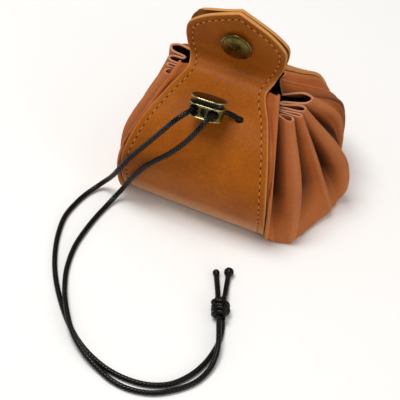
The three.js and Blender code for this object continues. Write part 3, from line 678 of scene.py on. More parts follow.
def uneven(tree, place, size, ends, detail=3.0, roughness=0.5, spread=(0.3, 0.7)):
    """A value that wanders between two ends, in patches of a size in millimetres."""
    noise = add_node(tree, "ShaderNodeTexNoise", {
        "Vector": place, "Scale": 1 / (size * MM), "Detail": detail, "Roughness": roughness})
    return add_node(tree, "ShaderNodeMapRange", {
        "Value": noise, "From Min": spread[0], "From Max": spread[1], "To Min": ends[0], "To Max": ends[1]})


def clouded(tree, place, size, stops, detail=4.0, roughness=0.5):
    """A colour that wanders between stops, in patches of a size in millimetres."""
    noise = add_node(tree, "ShaderNodeTexNoise", {
        "Vector": place, "Scale": 1 / (size * MM), "Detail": detail, "Roughness": roughness})
    return add_node(tree, "ShaderNodeValToRGB", {"Fac": noise}, stops=stops)


def tan_leather(colour):
    """Vegetable-tanned cowhide, dyed tan and oiled by hand."""
    # It gives the eye a smooth, slightly waxy face with cloudy colour, fine pores and paler rubbed edges,
    # with painted shade darkening the tabs towards their tops, and a pale band low on the front that is
    # partly rubbed wear and partly a painted reflection of the floor.
    material, tree, place = new_material(
        "Tan vegetable-tanned leather", {"IOR": 1.45, "Specular IOR Level": 0.16})
    edge = add_node(tree, "ShaderNodeAttribute", attribute_name="edge_mm", out="Fac")
    low = add_node(tree, "ShaderNodeAttribute", attribute_name="low", out="Fac")
    dyed = clouded(tree, place, 16, ((0.3, "#8C4608"), (0.52, "#9B510A"), (0.74, "#A85D10")), 5.0, 0.55)
    base = add_node(tree, "ShaderNodeMix", {0: 0.35, 6: dyed, 7: (*colour, 1.0)}, 2, data_type="RGBA")
    fibre = uneven(tree, place, 1.1, (0.88, 1.1), roughness=0.55, spread=(0.35, 0.7))
    grainy = add_node(tree, "ShaderNodeMix", {0: 1.0, 6: base, 7: fibre}, 2, **MULTIPLY)
    # Painted shade: the tabs darken towards their tops, from 66 mm to 82 mm high, as less light falls
    # there.
    height = add_node(tree, "ShaderNodeSeparateXYZ", {"Vector": place}, "Z")
    tab_painted_shade = add_node(tree, "ShaderNodeMapRange", {
        "Value": height, "From Min": 66 * MM, "From Max": 82 * MM, "To Min": 1.0, "To Max": 0.84})
    tab_shaded = add_node(tree, "ShaderNodeMix", {0: 1.0, 6: grainy, 7: tab_painted_shade}, 2, **MULTIPLY)
    # Low on the front the colour is mixed towards pale tan: partly rubbed wear, partly a painted reflection
    # of the floor.
    worn_and_lit = add_node(tree, "ShaderNodeMapRange", {"Value": low, "To Min": 0.0, "To Max": 0.8})
    handled_and_lit = add_node(tree, "ShaderNodeMix", {0: worn_and_lit, 6: tab_shaded, 7: linear("#C4986F")}, 2,
                       data_type="RGBA")
    near = add_node(tree, "ShaderNodeMapRange", {
        "Value": edge, "From Min": 0.1, "From Max": 0.9, "To Min": 0.7, "To Max": 0.0})
    burnished = add_node(tree, "ShaderNodeMix", {0: near, 6: handled_and_lit, 7: linear("#C07E3C")}, 2,
                         data_type="RGBA")
    oil = uneven(tree, place, 5, (0.42, 0.56), 4.0)
    pores = add_node(tree, "ShaderNodeTexVoronoi", {"Vector": place, "Scale": 1 / (0.8 * MM)}, "Distance")
    wrinkle = add_node(tree, "ShaderNodeTexNoise", {
        "Vector": place, "Scale": 1 / (2.2 * MM), "Detail": 6.0, "Roughness": 0.65})
    height = add_node(tree, "ShaderNodeMath", {0: pores, 1: wrinkle}, operation="ADD")
    bump = add_node(tree, "ShaderNodeBump", {"Height": height, "Distance": 0.12 * MM, "Strength": 0.28})
    return linked(material, {"Base Color": burnished, "Roughness": oil, "Normal": bump})


def raw_edge(code, name):
    """The cut edge of the hide."""
    # It gives the eye a thin, pale, dry line of fibres.
    material, tree, place = new_material(name, {"Roughness": 0.85, "Specular IOR Level": 0.25})
    fibre = add_node(tree, "ShaderNodeTexNoise", {"Vector": place, "Scale": 1 / (0.6 * MM), "Detail": 4.0})
    shade = add_node(tree, "ShaderNodeMapRange", {
        "Value": fibre, "From Min": 0.3, "From Max": 0.7, "To Min": 0.82, "To Max": 1.08})
    pale = add_node(tree, "ShaderNodeMix", {0: 1.0, 6: linear(code), 7: shade}, 2, **MULTIPLY)
    bump = add_node(tree, "ShaderNodeBump", {"Height": fibre, "Distance": 0.12 * MM, "Strength": 0.5})
    return linked(material, {"Base Color": pale, "Normal": bump})


def flesh_side(code, name):
    """The rough back of the hide."""
    # It gives the eye a matt, patchy face with a short nap.
    material, tree, place = new_material(name, {"Roughness": 0.95, "Specular IOR Level": 0.15})
    shade = uneven(tree, place, 9, (0.85, 1.1))
    base = add_node(tree, "ShaderNodeMix", {0: 1.0, 6: linear(code), 7: shade}, 2, **MULTIPLY)
    nap = add_node(tree, "ShaderNodeTexNoise", {
        "Vector": place, "Scale": 1 / (0.7 * MM), "Detail": 6.0, "Roughness": 0.7})
    bump = add_node(tree, "ShaderNodeBump", {"Height": nap, "Distance": 0.2 * MM, "Strength": 0.5})
    return linked(material, {"Base Color": base, "Normal": bump})


def side_leather(colour):
    """Soft drum-dyed leather, buffed on its face."""
    # It gives the eye a matt, redder face, paler on the ridges with rubbed wear and painted highlight,
    # dark down in the pleats with painted shade, and paler near the floor with painted bounce light.
    material, tree, place = new_material("Reddish soft leather", {"Specular IOR Level": 0.1})
    bend = add_node(tree, "ShaderNodeAttribute", attribute_name="bend", out="Fac")
    crest = add_node(tree, "ShaderNodeAttribute", attribute_name="crest", out="Fac")
    dyed = clouded(tree, place, 11, ((0.3, "#8B4519"), (0.52, "#9C5022"), (0.75, "#A85C2B")))
    base = add_node(tree, "ShaderNodeMix", {0: 0.4, 6: dyed, 7: (*colour, 1.0)}, 2, data_type="RGBA")
    # Paler on the ridges: partly rubbed wear, partly a painted highlight where the folds catch the light.
    ridge_wear_and_light = add_node(tree, "ShaderNodeMapRange", {
        "Value": bend, "From Min": 0.06, "From Max": 0.45, "To Min": 0.0, "To Max": 0.5})
    worn_and_lit = add_node(tree, "ShaderNodeMix", {0: ridge_wear_and_light, 6: base, 7: linear("#B8754A")}, 2, data_type="RGBA")
    # Painted shade: the pleats' valleys are mixed towards a near-black brown where the crest is low.
    shade = add_node(tree, "ShaderNodeMapRange", {
        "Value": crest, "From Min": 0.05, "From Max": 0.75, "To Min": 0.9, "To Max": 0.0})
    deep = add_node(tree, "ShaderNodeMix", {0: shade, 6: worn_and_lit, 7: linear("#2A1206")}, 2, data_type="RGBA")
    # Painted light: near the floor the feet are mixed towards a pale orange brown, for light bounced off
    # the floor.
    height = add_node(tree, "ShaderNodeSeparateXYZ", {"Vector": place}, "Z")
    floor_bounce_light = add_node(tree, "ShaderNodeMapRange", {
        "Value": height, "From Min": 3 * MM, "From Max": 26 * MM, "To Min": 0.4, "To Max": 0.0})
    foot = add_node(tree, "ShaderNodeMix", {0: floor_bounce_light, 6: deep, 7: linear("#C9804A")}, 2, data_type="RGBA")
    fibre = uneven(tree, place, 0.7, (0.86, 1.12), 4.0, 0.65)
    grainy = add_node(tree, "ShaderNodeMix", {0: 1.0, 6: foot, 7: fibre}, 2, **MULTIPLY)
    buffed = uneven(tree, place, 4, (0.68, 0.84), 4.0)
    nap = add_node(tree, "ShaderNodeTexNoise", {
        "Vector": place, "Scale": 1 / (0.9 * MM), "Detail": 6.0, "Roughness": 0.68})
    bump = add_node(tree, "ShaderNodeBump", {"Height": nap, "Distance": 0.14 * MM, "Strength": 0.4})
    return linked(material, {"Base Color": grainy, "Roughness": buffed, "Normal": bump})


def sewing_thread(colour):
    """Twisted linen thread, waxed."""
    # It gives the eye short pale dashes with a soft sheen.
    material, tree, place = new_material("Waxed linen thread", {"Roughness": 0.6})
    shade = uneven(tree, place, 1.5, (0.8, 1.12))
    dyed = add_node(tree, "ShaderNodeMix", {0: 1.0, 6: (*colour, 1.0), 7: shade}, 2, **MULTIPLY)
    return linked(material, {"Base Color": dyed})


def needle_hole_shade():
    """The inside of a needle hole in tanned leather, its darkness painted shade."""
    # It gives the eye a dark dot of painted shade between two stitches.
    material, tree, place = new_material(
        "Painted shade of a needle hole in leather", {"Roughness": 0.9, "Specular IOR Level": 0.1})
    dark = clouded(tree, place, 1, ((0.3, "#2A1406"), (0.7, "#44220C")), 2.0)
    return linked(material, {"Base Color": dark})


def old_brass(name, dull, bright):
    """Stamped brass with an antique plating that is rubbed off where it is handled."""
    # It gives the eye a dark, olive metal with paler patches and soft reflections.
    material, tree, place = new_material(name, {"Metallic": 1.0})
    plated = clouded(tree, place, 4, ((0.32, dull), (0.72, bright)), roughness=0.55)
    worn = add_node(tree, "ShaderNodeTexNoise", {"Vector": place, "Scale": 1 / (1.6 * MM), "Detail": 3.0})
    rough = add_node(tree, "ShaderNodeMapRange", {
        "Value": worn, "From Min": 0.3, "From Max": 0.7, "To Min": 0.22, "To Max": 0.32})
    bump = add_node(tree, "ShaderNodeBump", {"Height": worn, "Distance": 0.01 * MM, "Strength": 0.25})
    return linked(material, {"Base Color": plated, "Roughness": rough, "Normal": bump})


def black_plastic():
    """Moulded acetal."""
    # It gives the eye a plain black with a faint gloss.
    material, tree, place = new_material("Black moulded acetal", {"Specular IOR Level": 0.4})
    shade = add_node(tree, "ShaderNodeTexNoise", {"Vector": place, "Scale": 1 / (2 * MM), "Detail": 3.0})
    dark = add_node(tree, "ShaderNodeValToRGB", {"Fac": shade}, stops=((0.3, "#08080A"), (0.7, "#121214")))
    rough = add_node(tree, "ShaderNodeMapRange", {
        "Value": shade, "From Min": 0.3, "From Max": 0.7, "To Min": 0.3, "To Max": 0.42})
    return linked(material, {"Base Color": dark, "Roughness": rough})


def waxed_cord(colour):
    """Braided cotton cord, dyed and waxed."""
    # It gives the eye a black line with a row of small glints on its strands.
    material, tree, place = new_material("Black waxed cotton cord", {"Base Color": (*colour, 1.0)})
    hollow = add_node(tree, "ShaderNodeAttribute", attribute_name="braid", out="Fac")
    gloss = add_node(tree, "ShaderNodeMapRange", {
        "Value": hollow, "From Min": 0.5, "From Max": 0.95, "To Min": 0.02, "To Max": 0.45})
    rough = uneven(tree, place, 1.4, (0.22, 0.36))
    return linked(material, {"Specular IOR Level": gloss, "Roughness": rough})


def studio_paper():
    """A roll of white paper."""
    # It gives the eye a plain, matt, nearly white ground.
    material, tree, place = new_material("White studio paper", {"Roughness": 0.9})
    white = clouded(tree, place, 300, ((0.3, "#F4F3F1"), (0.7, "#F8F7F5")), 2.0)
    return linked(material, {"Base Color": white})


# Cord tubes


TUBE_SIDES = 36
TUBE_STEP = 0.26
ROUTE_STEPS = 40
LINE_STEP = 0.5
# The braid is drawn coarser than the real one, whose strands are too fine to show.
BRAID_STRANDS = 5
BRAID_PITCH = 1.7
BRAID_DEPTH = 0.14
BRAID_DIP = 0.45


def frames_along(line):
    """Two directions across a line at each of its points, turned as little as possible."""
    ahead = np.gradient(line, axis=0)
    ahead /= np.linalg.norm(ahead, axis=1)[:, None]
    side = np.cross(ahead[0], (0, 0, 1))
    if np.linalg.norm(side) < 0.1:
        side = np.cross(ahead[0], (1, 0, 0))
    sides = []
    for way in ahead:
        side = side - way * (side @ way)
        side = side / np.linalg.norm(side)
        sides.append(side)
    sides = np.array(sides)
    return sides, np.cross(ahead, sides)


def braid_height(turn, along):
    """Height from 0 to 1 of a plain braid of strands that pass over and under each other."""
    lay = BRAID_STRANDS * turn / (2 * np.pi)
    run = along / BRAID_PITCH
    first, second = lay + run, lay - run
    over = np.sin(np.pi * first) ** 2
    under = np.sin(np.pi * second) ** 2
    swap = 0.5 + 0.5 * np.sin(np.pi * (first + second)) * np.sin(np.pi * (first - second))
    return np.maximum(over * (1 - BRAID_DIP * (1 - swap)), under * (1 - BRAID_DIP * swap))


def tube(line, radius, swell=None):
    """A bmesh of a braided tube along a line in millimetres, closed at both ends."""
    line = even(np.asarray(line, float), TUBE_STEP)
    along = lengths(line)
    sides, ups = frames_along(line)
    bm, column, row = new_grid(TUBE_SIDES, len(line) - 1)
    angle = -2 * np.pi * column / TUBE_SIDES
    wide = np.full(len(line), radius) if swell is None else swell(along, radius)
    braid = braid_height(angle, along[row])
    reach = wide[row] * (1 - BRAID_DEPTH * (1 - braid))
    across = np.cos(angle)[:, None] * sides[row] + np.sin(angle)[:, None] * ups[row]
    put(bm, line[row] + across * reach[:, None])
    paint(bm, "braid", braid)
    weld(bm)
    close_ends(bm)
    bmesh.ops.recalc_face_normals(bm, faces=bm.faces)
    return bm


def join(target, source):
    """Adds one bmesh to another and frees it."""
    mesh = bpy.data.meshes.new("joining")
    source.to_mesh(mesh)
    source.free()
    target.from_mesh(mesh)
    bpy.data.meshes.remove(mesh)


def route_line(route):
    """The smooth line of a route, in millimetres."""
    return smooth_path(route, np.linspace(0, 1, ROUTE_STEPS * (len(route) - 1) + 1))


# The metal pieces


def snap_matrix():
    """The stud's frame: its Y axis runs straight through the leaning tabs."""
    x, up = SNAP_AT
    place, beside, above = settle(np.array([[x, 0, up], [x + 1, 0, up], [x, 0, up + 1]]))
    right = Vector(beside - place).normalized()
    back = Vector(above - place).cross(right).normalized()
    turn = Matrix((right, back, right.cross(back))).transposed()
    return Matrix.Translation(place * MM) @ turn.to_4x4()


def lock_matrix():
    """The lock's frame: Z is the way its button stands, and -Y is its front."""
    matrix = Matrix.Translation(Vector(LOCK_AT) * MM)
    for degrees, axis in ((FACE_TILT, "X"), (LOCK_YAW, "Z"), (-LOCK_STAND, "X")):
        matrix = matrix @ Matrix.Rotation(math.radians(degrees), 4, axis)
    return matrix


def spun(profile, steps=72):
    """A bmesh turned about Y from a profile of (radius, along) in millimetres."""
    bm = bmesh.new()
    verts = [bm.verts.new((radius * MM, along * MM, 0)) for radius, along in profile]
    edges = [bm.edges.new(pair) for pair in zip(verts, verts[1:])]
    bmesh.ops.spin(bm, geom=verts + edges, cent=(0, 0, 0), axis=(0, 1, 0), angle=2 * math.pi, steps=steps,
                   use_merge=True)
    weld(bm)
    bmesh.ops.recalc_face_normals(bm, faces=bm.faces)
    return bm


def oval_line(inset, oval):
    """An oval outline of (long, deep, corner), drawn in by inset, anticlockwise from the back's middle."""
    long, deep, corner = oval
    corner = max(corner - inset, LEAST_CORNER)
    x, y = long / 2 - inset - corner, deep / 2 - inset - corner
    turns = np.radians(np.linspace(0, 90, CORNER_POINTS))
    corners = []
    for k, (sx, sy) in enumerate(((-1, 1), (-1, -1), (1, -1), (1, 1))):
        angle = turns + math.radians(90 * (k + 1))
        corners.append(np.stack([sx * x + corner * np.cos(angle), sy * y + corner * np.sin(angle)], axis=1))
    line = np.concatenate(corners)
    start = np.array([[0, deep / 2 - inset]])
    return np.concatenate([start, line, start])


LEAST_CORNER = 0.05
CORNER_POINTS = 13
LOCK_OVAL = (LOCK_LONG, LOCK_DEEP, LOCK_CORNER)
STEM_OVAL = (STEM_LONG, STEM_DEEP, STEM_CORNER)


def oval_wall(profile, oval=LOCK_OVAL, columns=160):
    """A bmesh wall round an oval, from a profile of (inset, height) rows in millimetres."""
    profile = np.asarray(profile, float)
    bm, column, row = new_grid(columns, len(profile) - 1)
    places = np.zeros((len(row), 3))
    for k, (inset, height) in enumerate(profile):
        line = oval_line(inset, oval)
        here = row == k
        places[here, :2] = places_at(line, column[here] / columns * lengths(line)[-1])
        places[here, 2] = height
    put(bm, places)
    weld(bm, 0.01)
    return bm


def stretch(profile, step):
    """A profile with more rows, at most step apart."""
    rows = [profile[0]]
    for a, b in zip(profile, profile[1:]):
        count = max(1, math.ceil(math.dist(a, b) / step))
        rows.extend(np.linspace(a, b, count + 1)[1:])
    return rows


def cut_bores(bm, up, radius):
    """Punches both bores through a wall of the lock, from front to back."""
    for x in (-BORE_ACROSS, BORE_ACROSS):
        middle = np.array([x, up])

        def onto(p, middle=middle):
            away = p[[0, 2]] - middle
            away = away / max(np.linalg.norm(away), TINY) * radius
            return np.array([middle[0] + away[0], p[1], middle[1] + away[1]])

        punch(bm, lambda p, middle=middle: np.linalg.norm(p[[0, 2]] - middle) < radius, onto)


# Settings


class DiceBagLeather(bpy.types.PropertyGroup):
    """Sizes and colours of the leather and its sewing"""

    panel_thickness: bpy.props.FloatProperty(
        name="Panel Thickness", description="Thickness of the tan strip", default=0.0018, unit="LENGTH")
    side_thickness: bpy.props.FloatProperty(
        name="Side Thickness", description="Thickness of the pleated sides", default=0.0011, unit="LENGTH")
    stitch_pitch: bpy.props.FloatProperty(
        name="Stitch Pitch", description="Distance between needle holes", default=0.0034, unit="LENGTH")
    stitch_inset: bpy.props.FloatProperty(
        name="Stitch Inset", description="Distance of the stitching from the edge", default=0.0031,
        unit="LENGTH")
    panel_colour: bpy.props.FloatVectorProperty(
        name="Panel Colour", description="Colour of the tan strip", subtype="COLOR", size=3,
        default=linear("#9C530C")[:3])
    side_colour: bpy.props.FloatVectorProperty(
        name="Side Colour", description="Colour of the pleated sides", subtype="COLOR", size=3,
        default=linear("#A6582A")[:3])
    thread_colour: bpy.props.FloatVectorProperty(
        name="Thread Colour", description="Colour of the sewing thread", subtype="COLOR", size=3,
        default=linear("#B9762F")[:3])


class DiceBagCord(bpy.types.PropertyGroup):
    """Size and colour of the cord"""

    diameter: bpy.props.FloatProperty(
        name="Diameter", description="Diameter of the cord", default=0.0025, unit="LENGTH")
    colour: bpy.props.FloatVectorProperty(
        name="Colour", description="Colour of the waxed cord", subtype="COLOR", size=3,
        default=linear("#0A0908")[:3])


class DiceBagStage(bpy.types.PropertyGroup):
    """Light and floor"""

    key_power: bpy.props.FloatProperty(
        name="Key Power", description="Power of the large soft light", default=6.1, unit="POWER")
    fill_power: bpy.props.FloatProperty(
        name="Fill Power", description="Power of the light from the right", default=1.4, unit="POWER")
    sky: bpy.props.FloatProperty(
        name="Sky Strength", description="Strength of the even light all round", default=0.42, min=0)


class DiceBagSettings(bpy.types.PropertyGroup):
    """All settings of the dice bag"""

    leather: bpy.props.PointerProperty(
        type=DiceBagLeather, name="Leather", description="Leather and sewing")
    cord: bpy.props.PointerProperty(type=DiceBagCord, name="Cord", description="Cord")
    stage: bpy.props.PointerProperty(type=DiceBagStage, name="Stage", description="Light and floor")


# Operators


class DICEBAG_OT_stage(bpy.types.Operator):
    """Make the floor, the lights and the camera"""

    bl_idname = "dice_bag.stage"
    bl_label = "Stage"

    KEY_AT = (-0.22, -0.08, 0.90)
    FILL_AT = (0.75, -0.35, 0.28)
    LIGHTS_AIM = (0, -0.02, 0.03)
    LIGHT_SIZE = 0.5
    FLOOR_HALF = 4

    def execute(self, context):
        settings = context.scene.dice_bag.stage
        scene = context.scene
        self.make_camera(scene)
        self.make_floor(scene)
        self.make_light(scene, "key", self.KEY_AT, settings.key_power)
        self.make_light(scene, "fill", self.FILL_AT, settings.fill_power)
        world = bpy.data.worlds.new("Even light")
        world.use_nodes = True
        back = world.node_tree.nodes["Background"]
        back.inputs["Color"].default_value = linear("#FFFDFA")
        back.inputs["Strength"].default_value = settings.sky
        scene.world = world
        scene.view_settings.view_transform = "Standard"
        return {"FINISHED"}

    def make_camera(self, scene):
        data = bpy.data.cameras.new("photograph_view")
        data.sensor_width = SENSOR
        data.lens = FOCAL_PX / IMAGE_PX * SENSOR
        data.clip_start = 0.01
        camera = bpy.data.objects.new("photograph_view", data)
        camera.location = VIEW_FROM
        look = (Vector(VIEW_AT) - Vector(VIEW_FROM)).to_track_quat("-Z", "Y")
        camera.rotation_mode = "QUATERNION"
        roll = Matrix.Rotation(math.radians(-VIEW_ROLL), 3, "Z").to_quaternion()
        camera.rotation_quaternion = look @ roll
        scene.collection.objects.link(camera)
        scene.camera = camera

    def make_floor(self, scene):
        bm = bmesh.new()
        bmesh.ops.create_grid(bm, x_segments=1, y_segments=1, size=self.FLOOR_HALF)
        mesh = bpy.data.meshes.new("floor")
        bm.to_mesh(mesh)
        bm.free()
        floor = bpy.data.objects.new("floor", mesh)
        mesh.materials.append(studio_paper())
        scene.collection.objects.link(floor)

    def make_light(self, scene, name, place, power):
        data = bpy.data.lights.new(name, "AREA")
        data.shape = "DISK"
        data.size = self.LIGHT_SIZE
        data.energy = power
        light = bpy.data.objects.new(name, data)
        light.location = place
        aim = Vector(self.LIGHTS_AIM) - Vector(place)
        light.rotation_euler = aim.to_track_quat("-Z", "Y").to_euler()
        scene.collection.objects.link(light)


class DICEBAG_OT_panel(bpy.types.Operator):
    """Make the folded strip of tan leather: front, bottom, back and tabs"""

    bl_idname = "dice_bag.panel"
    bl_label = "Leather Strip"

    WEAR_AND_SHEEN_HEIGHT = 6
    WEAR_AND_SHEEN_REACH = 11
    HOLE_CLEAR = 0.2
    HOLE_REACH = 6
    EDGE_ROUND = 0.25

    def execute(self, context):
        leather = context.scene.dice_bag.leather
        inset = leather.stitch_inset / MM
        rows = half_strip_rows()
        bm, column, row = new_grid(rows.shape[1] - 1, 2 * (len(rows) - 1))
        places, edge, long = panel_places(rows, column, row, inset)
        put(bm, places)
        paint(bm, "edge_mm", edge)
        # A pale band round the bottom fold, on the front only: partly rubbed wear, partly a painted
        # reflection of the floor.
        wear_and_sheen = np.clip(1 - np.abs(long - strip_length_at(self.WEAR_AND_SHEEN_HEIGHT)) / self.WEAR_AND_SHEEN_REACH, 0, 1)
        paint(bm, "low", wear_and_sheen * (places[:, 1] < 0))
        radius = context.scene.dice_bag.cord.diameter / MM / 2 + self.HOLE_CLEAR
        for k in CORD_HOLES:
            self.cut_hole(bm, k, radius)
        panel = make_piece(
            "leather_strip", bm,
            [tan_leather(leather.panel_colour), flesh_side("#8A5426", "Back of the tan hide"),
             raw_edge("#C98C4C", "Cut edge of the tan hide")],
            replaces=["outer_panel"])
        thicken(panel, leather.panel_thickness, -1, inner=1, rim=2)
        round_edges(panel, self.EDGE_ROUND * MM)
        return {"FINISHED"}

    def cut_hole(self, bm, index, radius):
        """A hole along the cord's way through the strip."""
        before, middle, after = (np.array(DRAWN_ROUTE[index + k]) for k in (-1, 0, 1))
        way = (after - before) / np.linalg.norm(after - before)

        def away(p):
            off = p - middle
            return off - way * (off @ way)

        def onto(p):
            off = away(p)
            return p - off + off / max(np.linalg.norm(off), TINY) * radius

        def inside(p):
            return np.linalg.norm(away(p)) < radius and np.linalg.norm(p - middle) < self.HOLE_REACH

        punch(bm, inside, onto)


class DICEBAG_OT_sides(bpy.types.Operator):
    """Make the two pleated sides"""

    bl_idname = "dice_bag.sides"
    bl_label = "Pleated Sides"

    HOLE_CLEAR = 0.5

    def execute(self, context):
        leather = context.scene.dice_bag.leather
        materials = [side_leather(leather.side_colour), flesh_side("#7A4023", "Back of the soft hide"),
                     raw_edge("#C58562", "Cut edge of the soft hide")]
        tree = search_tree(even(route_line(DRAWN_ROUTE), LINE_STEP))
        radius = context.scene.dice_bag.cord.diameter / MM / 2 + self.HOLE_CLEAR
        for node, (sign, folds) in SIDES.items():
            rows, crest = side_rows(sign, folds, leather.panel_thickness / MM, leather.side_thickness / MM)
            bm, column, row = new_grid(rows.shape[1] - 1, len(rows) - 1)
            put(bm, rows[row, column])
            paint(bm, "bend", bend_of(rows)[row, column])
            # The crest sets the painted shade in the pleats.
            paint(bm, "crest", crest[row, column])

            def onto(p):
                near = np.array(tree.find(p)[0])
                off = p - near
                return near + off / max(np.linalg.norm(off), TINY) * radius

            punch(bm, lambda p: tree.find(p)[2] < radius, onto)
            side = make_piece("pleated_side_" + ("right" if sign > 0 else "left"), bm, materials,
                              replaces=[node])
            thicken(side, leather.side_thickness, 0, inner=1, rim=2, even_offset=False)
            even_out(side)
        return {"FINISHED"}


class DICEBAG_OT_stitching(bpy.types.Operator):
    """Sew the stitching round both faces of the strip"""

    bl_idname = "dice_bag.stitching"
    bl_label = "Stitching"

    # Half the width, half the height and the depth of the middle of a stitch and of a needle hole
    STITCH = (0.36, 0.32, 0.1)
    HOLE = (0.38, 0.2, 0.24)
    LOWEST_STITCH = 3.0
    # Where a stitch and a needle hole begin and end, in pitches
    STITCH_SPAN = (0.2, 0.8)
    HOLE_SPAN = (-0.12, 0.12)

    def execute(self, context):
        leather = context.scene.dice_bag.leather
        pitch = leather.stitch_pitch / MM
        line = inset_line(leather.stitch_inset / MM)
        line = line[line[:, 1] > strip_length_at(self.LOWEST_STITCH)]
        count = int(lengths(line)[-1] // pitch)
        thread = bmesh.new()
        holes = bmesh.new()
        for face in (-1, 1):
            for k in range(count):
                ends = (k + np.array(self.STITCH_SPAN)) * pitch
                self.add_bead(thread, line, ends, face, *self.STITCH)
                ends = (k + np.array(self.HOLE_SPAN)) * pitch
                self.add_bead(holes, line, ends, face, *self.HOLE)
        make_piece("stitching", thread, [sewing_thread(leather.thread_colour)])
        # The needle holes are dark beads of painted shade, sunk into the face.
        make_piece("needle_holes", holes, [needle_hole_shade()])
        return {"FINISHED"}

    def add_bead(self, bm, line, ends, face, half_width, half_height, sunk):
        """One stitch or needle hole: a long bead that lies along the stitching line."""
        middle = places_at(line, [np.mean(ends)]).T
        tips = strip_points(*places_at(line, ends).T, face, sunk)
        centre = strip_points(*middle, face, sunk)[0]
        out = strip_normals(*middle, face)[0]
        way = tips[1] - tips[0]
        half = max(np.linalg.norm(way) / 2, 0.1)
        way = way / (2 * half)
        side = np.cross(out, way)
        side /= np.linalg.norm(side)
        up = np.cross(way, side)
        basis = Matrix((way * half * MM, side * half_width * MM, up * half_height * MM)).transposed()
        matrix = Matrix.Translation(Vector(centre) * MM) @ basis.to_4x4()
        bmesh.ops.create_uvsphere(bm, u_segments=8, v_segments=6, radius=1, matrix=matrix)


class DICEBAG_OT_press_stud(bpy.types.Operator):
    """Make the press stud: cap, socket and stud"""

    bl_idname = "dice_bag.press_stud"
    bl_label = "Press Stud"

    PROFILES = {
        "snap_cap": ((0, -5.9), (1.6, -5.86), (3.2, -5.72), (4.6, -5.48), (5.7, -5.2), (6.3, -5.02),
                     (6.55, -5.0), (6.85, -5.02), (7.2, -4.92), (7.42, -4.74), (7.5, -4.5), (7.44, -4.3),
                     (7.25, -4.2), (6.6, -4.2), (4.6, -3.8), (1.8, -3.8), (1.8, -1.35), (0, -1.35)),
        "snap_socket": ((2.3, -0.95), (4.4, -0.95), (4.6, -0.75), (4.6, -0.1), (4.4, 0.1), (2.3, 0.1),
                        (2.3, -0.95)),
        "snap_stud": ((0, -1.05), (1.6, -1.05), (1.9, -0.8), (1.7, 0.4), (4.2, 0.4), (4.2, 0.95),
                      (1.8, 0.95), (1.8, 3.7), (4.4, 3.7), (4.6, 3.85), (4.55, 4.05), (4.1, 4.3),
                      (3.2, 4.42), (2.6, 4.4), (2.2, 4.25), (0, 4.2)),
    }

    def execute(self, context):
        brass = old_brass("Antique brass", "#4A4020", "#85743E")
        for node, profile in self.PROFILES.items():
            bm = spun(profile)
            bmesh.ops.transform(bm, matrix=snap_matrix(), verts=bm.verts)
            make_piece(node.replace("snap", "press"), bm, [brass], replaces=[node])
        return {"FINISHED"}


